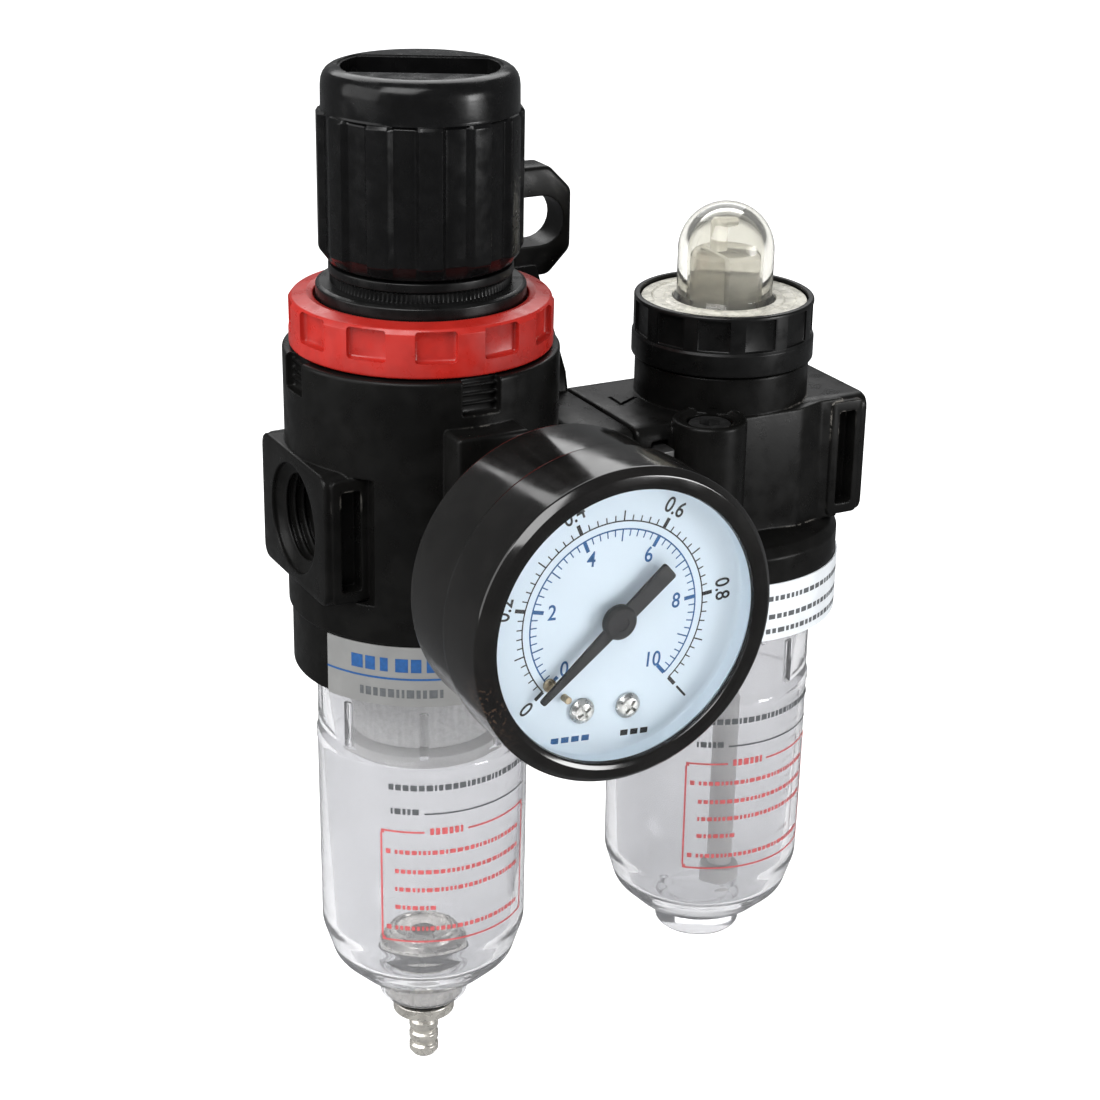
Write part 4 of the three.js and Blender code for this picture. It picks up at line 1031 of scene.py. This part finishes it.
def build_pointer():
    outline = [(-9.5, -1.3, 0.5), (-9.5, 1.3, 0.5), (-2, 1.15), (1.5, 0.95), (14.5, 0.45, 0.4),
               (14.5, -0.45, 0.4), (1.5, -0.95), (-2, -1.15)]
    blade = moved(prism(outline, 57.3, 57.85, 0.12), spun(ZERO))
    hub = revolve([(0, 57), (2.35, 57, 0.15), (2.35, 57.8, 0.15), (2.0, 58.15, 0.2), (0, 58.2)], 64)
    dimple = revolve([(0, 58.05), (1.0, 58.05), (1.1, 59), (0, 59)], 32)
    cut(join(blade, hub), dimple, rod(0.75, 56.5, 57.8, 24))
    show(blade, "pointer_blade", IN_GAUGE, "pointer", "pointer", ["gauge_pointer"])
    look_of("pointer_arbor", "steel")


def build_gauge():
    case = revolve([
        (5.6, 38.7), (8, 37.5), (20, 37.5, 1.3), (20.8, 38.9, 0.8), (20.8, 56.9, 0.2), (20, 56.9),
        (20, 40), (5.6, 40),
    ], 160)
    show(case, "gauge_case_shell", IN_GAUGE, "set", "enamel", ["gauge_case"])
    bezel = revolve([
        (21.05, 50), (21.45, 50, 0.2), (21.6, 50.5, 0.3), (21.6, 59.3, 0.6), (20.7, 60.25, 0.5),
        (19.5, 60.4, 0.5), (18.75, 60.1, 0.4), (18.6, 59.4), (21.05, 59.4),
    ], 160, steps=5)
    show(bezel, "gauge_bezel_ring", IN_GAUGE, "set", "enamel", ["gauge_bezel"])
    lens = revolve([(0, 58.4), (20.6, 58.4, 0.2), (20.6, 59.1, 0.2), (0, 59.1)], 128)
    show(lens, "gauge_window", IN_GAUGE, "set", "lens", ["gauge_lens"])
    stem = revolve([
        (0, 12.4), (4.6, 12.4, 0.4), (4.6, 35), (6, 35, 0.2), (6, 38.4), (5.2, 38.4), (5.2, 43.6),
        (0, 43.6),
    ], 64)
    flats = prism([(8.08 * math.cos(k * TURN / 6), 8.08 * math.sin(k * TURN / 6), 0.3) for k in range(6)],
                  27.3, 35.5, 0.4)
    join(stem, flats)
    cut(stem, rod(1.4, 11, 40, 24))
    show(stem, "gauge_stem", IN_GAUGE, "set", "brass", ["gauge_socket"])


# ---- lubricator top and oil parts ----
def build_dome():
    r, inner_r, top = 7.34, 5.8, 39.4
    angles = [k * math.pi / 32 for k in range(16)]
    outside = [(r * math.cos(a), top - r + r * math.sin(a)) for a in angles]
    inside = [(inner_r * math.cos(a), top - r + inner_r * math.sin(a)) for a in angles]
    path = [(0, top - r + inner_r), *reversed(inside), (inner_r, 19.8), (7.9, 19.8), (7.9, 24.7, 0.2),
            (r, 25.4, 0.3), *outside, (0, top)]
    show(revolve(path, 96), "dome_clear", IN_LUB, "dome", "dome", ["sight_dome"])
    flange = revolve([
        (8.0, 22.4), (12.7, 22.4), (12.7, 24.6, 0.2), (11.2, 24.75, 0.1), (10.9, 24.5, 0.1),
        (9.4, 24.45, 0.2),
        (9.1, 24.7, 0.2), (8.0, 24.7),
    ], 96)
    show(flange, "dome_flange", IN_LUB, "dome", "frost")
    nut = revolve([
        (12.2, 15.9), (14.0, 15.9, 0.3), (14.0, 19.2, 0.3), (13.8, 19.6, 0.1), (13.8, 25.2, 0.5),
        (12.9, 25.2, 0.1), (12.9, 24.9), (13, 24.9), (13, 22.1), (12.2, 22.1),
    ], 144)
    cut(nut, around(lambda: slab(-2.45, 2.45, -15, -13.25, 19.7, 24.6, 0.2), 12, 22.8))
    show(nut, "dome_nut", IN_LUB, "set", "bonnet", ["dome_ring_nut"])
    guide = revolve([
        (0, 12), (8.9, 12), (8.9, 19.5, 0.3), (5.4, 19.6, 0.1), (5.4, 31.4, 0.4),
        (4.8, 32.0, 0.3), (0, 32.3),
    ], 96)
    bar = slab(-2.3, -0.4, -1.3, 1.3, 31, 36.7, 0.5)
    hook = slab(-2.2, 1.6, -1.1, 1.1, 35.6, 37.0, 0.5)
    groove = slab(-2.9, -2.3, -6, 6, 20, 33, 0.2)
    join(guide, join(bar, hook))
    cut(guide, groove, slab(0.6, 3.8, -6, -3.6, 19.4, 26.6, 0.3), rod(0.5, 11, 20, 24))
    show(guide, "drip_insert", IN_LUB, "set", "insert", ["drip_guide"])


def build_oil_parts():
    pipe_at = at(0, SIPHON_Y)
    pipe = moved(revolve([(1.2, -70), (2, -70, 0.1), (2, -5), (1.2, -5)], 48), pipe_at)
    show(pipe, "siphon_pipe", IN_LUB, "set", "white", ["siphon_tube"])
    outline = [(0, -74.4), (2.7, -74.4, 0.3), (3.1, -73.9, 0.2), (3.1, -70.3, 0.3), (0, -70.3)]
    screen = moved(revolve(outline, 48), pipe_at)
    show(screen, "siphon_screen", IN_LUB, "set", "white", ["siphon_strainer"])


# ---- springs and diaphragm ----
def coil(radius, wire, z0, z1, turns):
    """Compression spring with closed end turns."""
    sides, per_turn = 10, 28
    closed = 0.6  # turns that lie flat at each end
    steps = round(turns * per_turn)
    centres = []
    for k in range(steps + 1):
        t = k / steps
        rise = min(1, max(0, (t * turns - closed) / (turns - 2 * closed)))
        angle = TURN * t * turns
        centres.append((Vector((radius * math.cos(angle), radius * math.sin(angle), 0)),
                        z0 + wire + (z1 - z0 - 2 * wire) * rise))
    verts, faces = [], []
    for flat, height in centres:
        side = flat.normalized()
        for j in range(sides):
            a = TURN * j / sides
            point = flat + side * (wire * math.cos(a))
            verts.append((point.x, point.y, height + wire * math.sin(a)))
    for k in range(steps):
        for j in range(sides):
            i, n = k * sides, (j + 1) % sides
            faces.append((i + j, i + n, i + sides + n, i + sides + j))
    faces += [tuple(range(sides)), tuple(range(steps * sides, steps * sides + sides))]
    return outward(new_object("coil", verts, faces))


def build_springs():
    """Springs and diaphragm of the regulator, each shown on a mesh of its own."""
    parts = (
        (coil(6.9, 0.8, 31.3, 46.9, 5.6), "adjusting_coil", "steel", "adjusting_spring",
         "seat_travel", 31.3, 0.59),
        (coil(2.9, 0.45, -9.1, 1.4, 5), "valve_coil", "steel", "valve_spring",
         "valve_travel", -9.1, 0.875),
        (revolve([
            (4.9, 29), (9.2, 29, 0.5), (13.2, 27.1, 0.6), (16.6, 27.1), (16.6, 27.9), (13.4, 27.9, 0.6),
            (9.4, 29.7, 0.5), (4.9, 29.7),
        ], 96), "diaphragm_sheet", "rubber", "diaphragm", "diaphragm_travel", 27.1, 0.42),
    )
    for shape, name, finish, node, joint, foot, keep in parts:
        piece = show(shape, name, IN_FR, "set", finish, [node])
        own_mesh(piece)


# ---- everything in place ----
build_knob()
build_bonnet()
build_fr_casting()
build_lub_casting()
build_bracket()
build_labels()
build_filter()
build_gauge()
build_dial()
build_pointer()
build_dome()
build_oil_parts()
build_bowl("filter_bowl_clear", IN_FR, "filter_bowl_set", "filter_bowl", True)
build_bowl("oil_bowl_clear", IN_LUB, "oil_bowl_set", "oil_bowl", False)
build_print("filter_bowl_print", IN_FR, "filter_bowl_set", -48)
build_print("oil_bowl_print", IN_LUB, "oil_bowl_set", -42)

build_springs()
KEPT = {  # CAD nodes whose own shape is shown
    "adjusting_screw": "steel", "spring_seat": "brass", "diaphragm_plate": "brass",
    "valve_poppet": "brass", "valve_guide": "brass", "filter_bowl_o_ring": "rubber",
    "oil_bowl_o_ring": "rubber", "dome_o_ring": "rubber", "bourdon_tube": "brass",
    "gauge_movement": "brass", "joint_o_ring_inlet": "rubber", "joint_o_ring_outlet": "rubber",
    "check_ball": "steel",
}
for node, finish in KEPT.items():
    look_of(node, finish)

# ---- floor, light and camera ----
FLOOR_GAP = 0.03  # metres between the lowest point and the floor
bpy.ops.mesh.primitive_plane_add(size=8, location=(FR.x, FR.y, cad_low.z - FLOOR_GAP))
floor = bpy.context.object
floor.name = "floor"
floor_look = Look("floor_white", (0.93, 0.93, 0.93), 0.9, specular=0.1)
floor_look.shader.inputs["Emission Color"].default_value = (1, 1, 1, 1)
floor_look.shader.inputs["Emission Strength"].default_value = 0.35
floor_look.mottled(400, 0.3, 0.995)
floor.data.materials.append(floor_look.material)
floor.visible_glossy = False

world = bpy.data.worlds.new("studio")
bpy.context.scene.world = world
world.use_nodes = True
background = next(n for n in world.node_tree.nodes if n.type == "BACKGROUND")
background.inputs["Color"].default_value = (0.96, 0.98, 1.0, 1)
background.inputs["Strength"].default_value = 0.17

AIM = Vector((FR.x + 21.6 * MM, FR.y, PORT_Z - 12.2 * MM))


def panel(name, direction, distance, width, height, power):
    """Soft panel light, facing the object, in metres and watts."""
    data = bpy.data.lights.new(name, "AREA")
    data.shape = "RECTANGLE"
    data.size, data.size_y = width, height
    data.energy = power
    obj = bpy.data.objects.new(name, data)
    bpy.context.scene.collection.objects.link(obj)
    way = Vector(direction).normalized()
    obj.location = AIM + way * distance
    obj.rotation_euler = (-way).to_track_quat("-Z", "Y").to_euler()
    obj.visible_camera = False


panel("key_top_left", (-0.7, -0.5, 1.1), 1.6, 1.0, 1.0, 28)
panel("left_wall", (-1.0, 0.15, 0.35), 1.5, 1.4, 1.2, 14)
panel("back_top", (0.35, 0.9, 0.9), 1.6, 1.6, 1.0, 16)
panel("right_front", (0.75, -1.0, 0.12), 1.2, 0.35, 0.35, 8)

AZIMUTH, ELEVATION, ROLL = math.radians(-28.05), math.radians(22.06), math.radians(1.03)
DISTANCE = 368.5 * MM
FOCAL_PIXELS, IMAGE_PIXELS, SENSOR = 2400, 1100, 36
back = Vector((
    math.sin(AZIMUTH) * math.cos(ELEVATION),
    -math.cos(AZIMUTH) * math.cos(ELEVATION),
    math.sin(ELEVATION),
))
right = (-back).cross(Vector((0, 0, 1))).normalized()
up = right.cross(-back)
right, up = (
    math.cos(ROLL) * right + math.sin(ROLL) * up,
    math.cos(ROLL) * up - math.sin(ROLL) * right,
)
camera_data = bpy.data.cameras.new("camera")
camera = bpy.data.objects.new("camera", camera_data)
bpy.context.scene.collection.objects.link(camera)
pose = Matrix((right, up, back)).transposed().to_4x4()
pose.translation = AIM + back * DISTANCE
camera.matrix_world = pose
camera_data.sensor_width = SENSOR
camera_data.lens = SENSOR * FOCAL_PIXELS / IMAGE_PIXELS
camera_data.dof.use_dof = False
camera_data.clip_start = 0.01
bpy.context.scene.camera = camera
bpy.context.scene.view_settings.view_transform = "Standard"
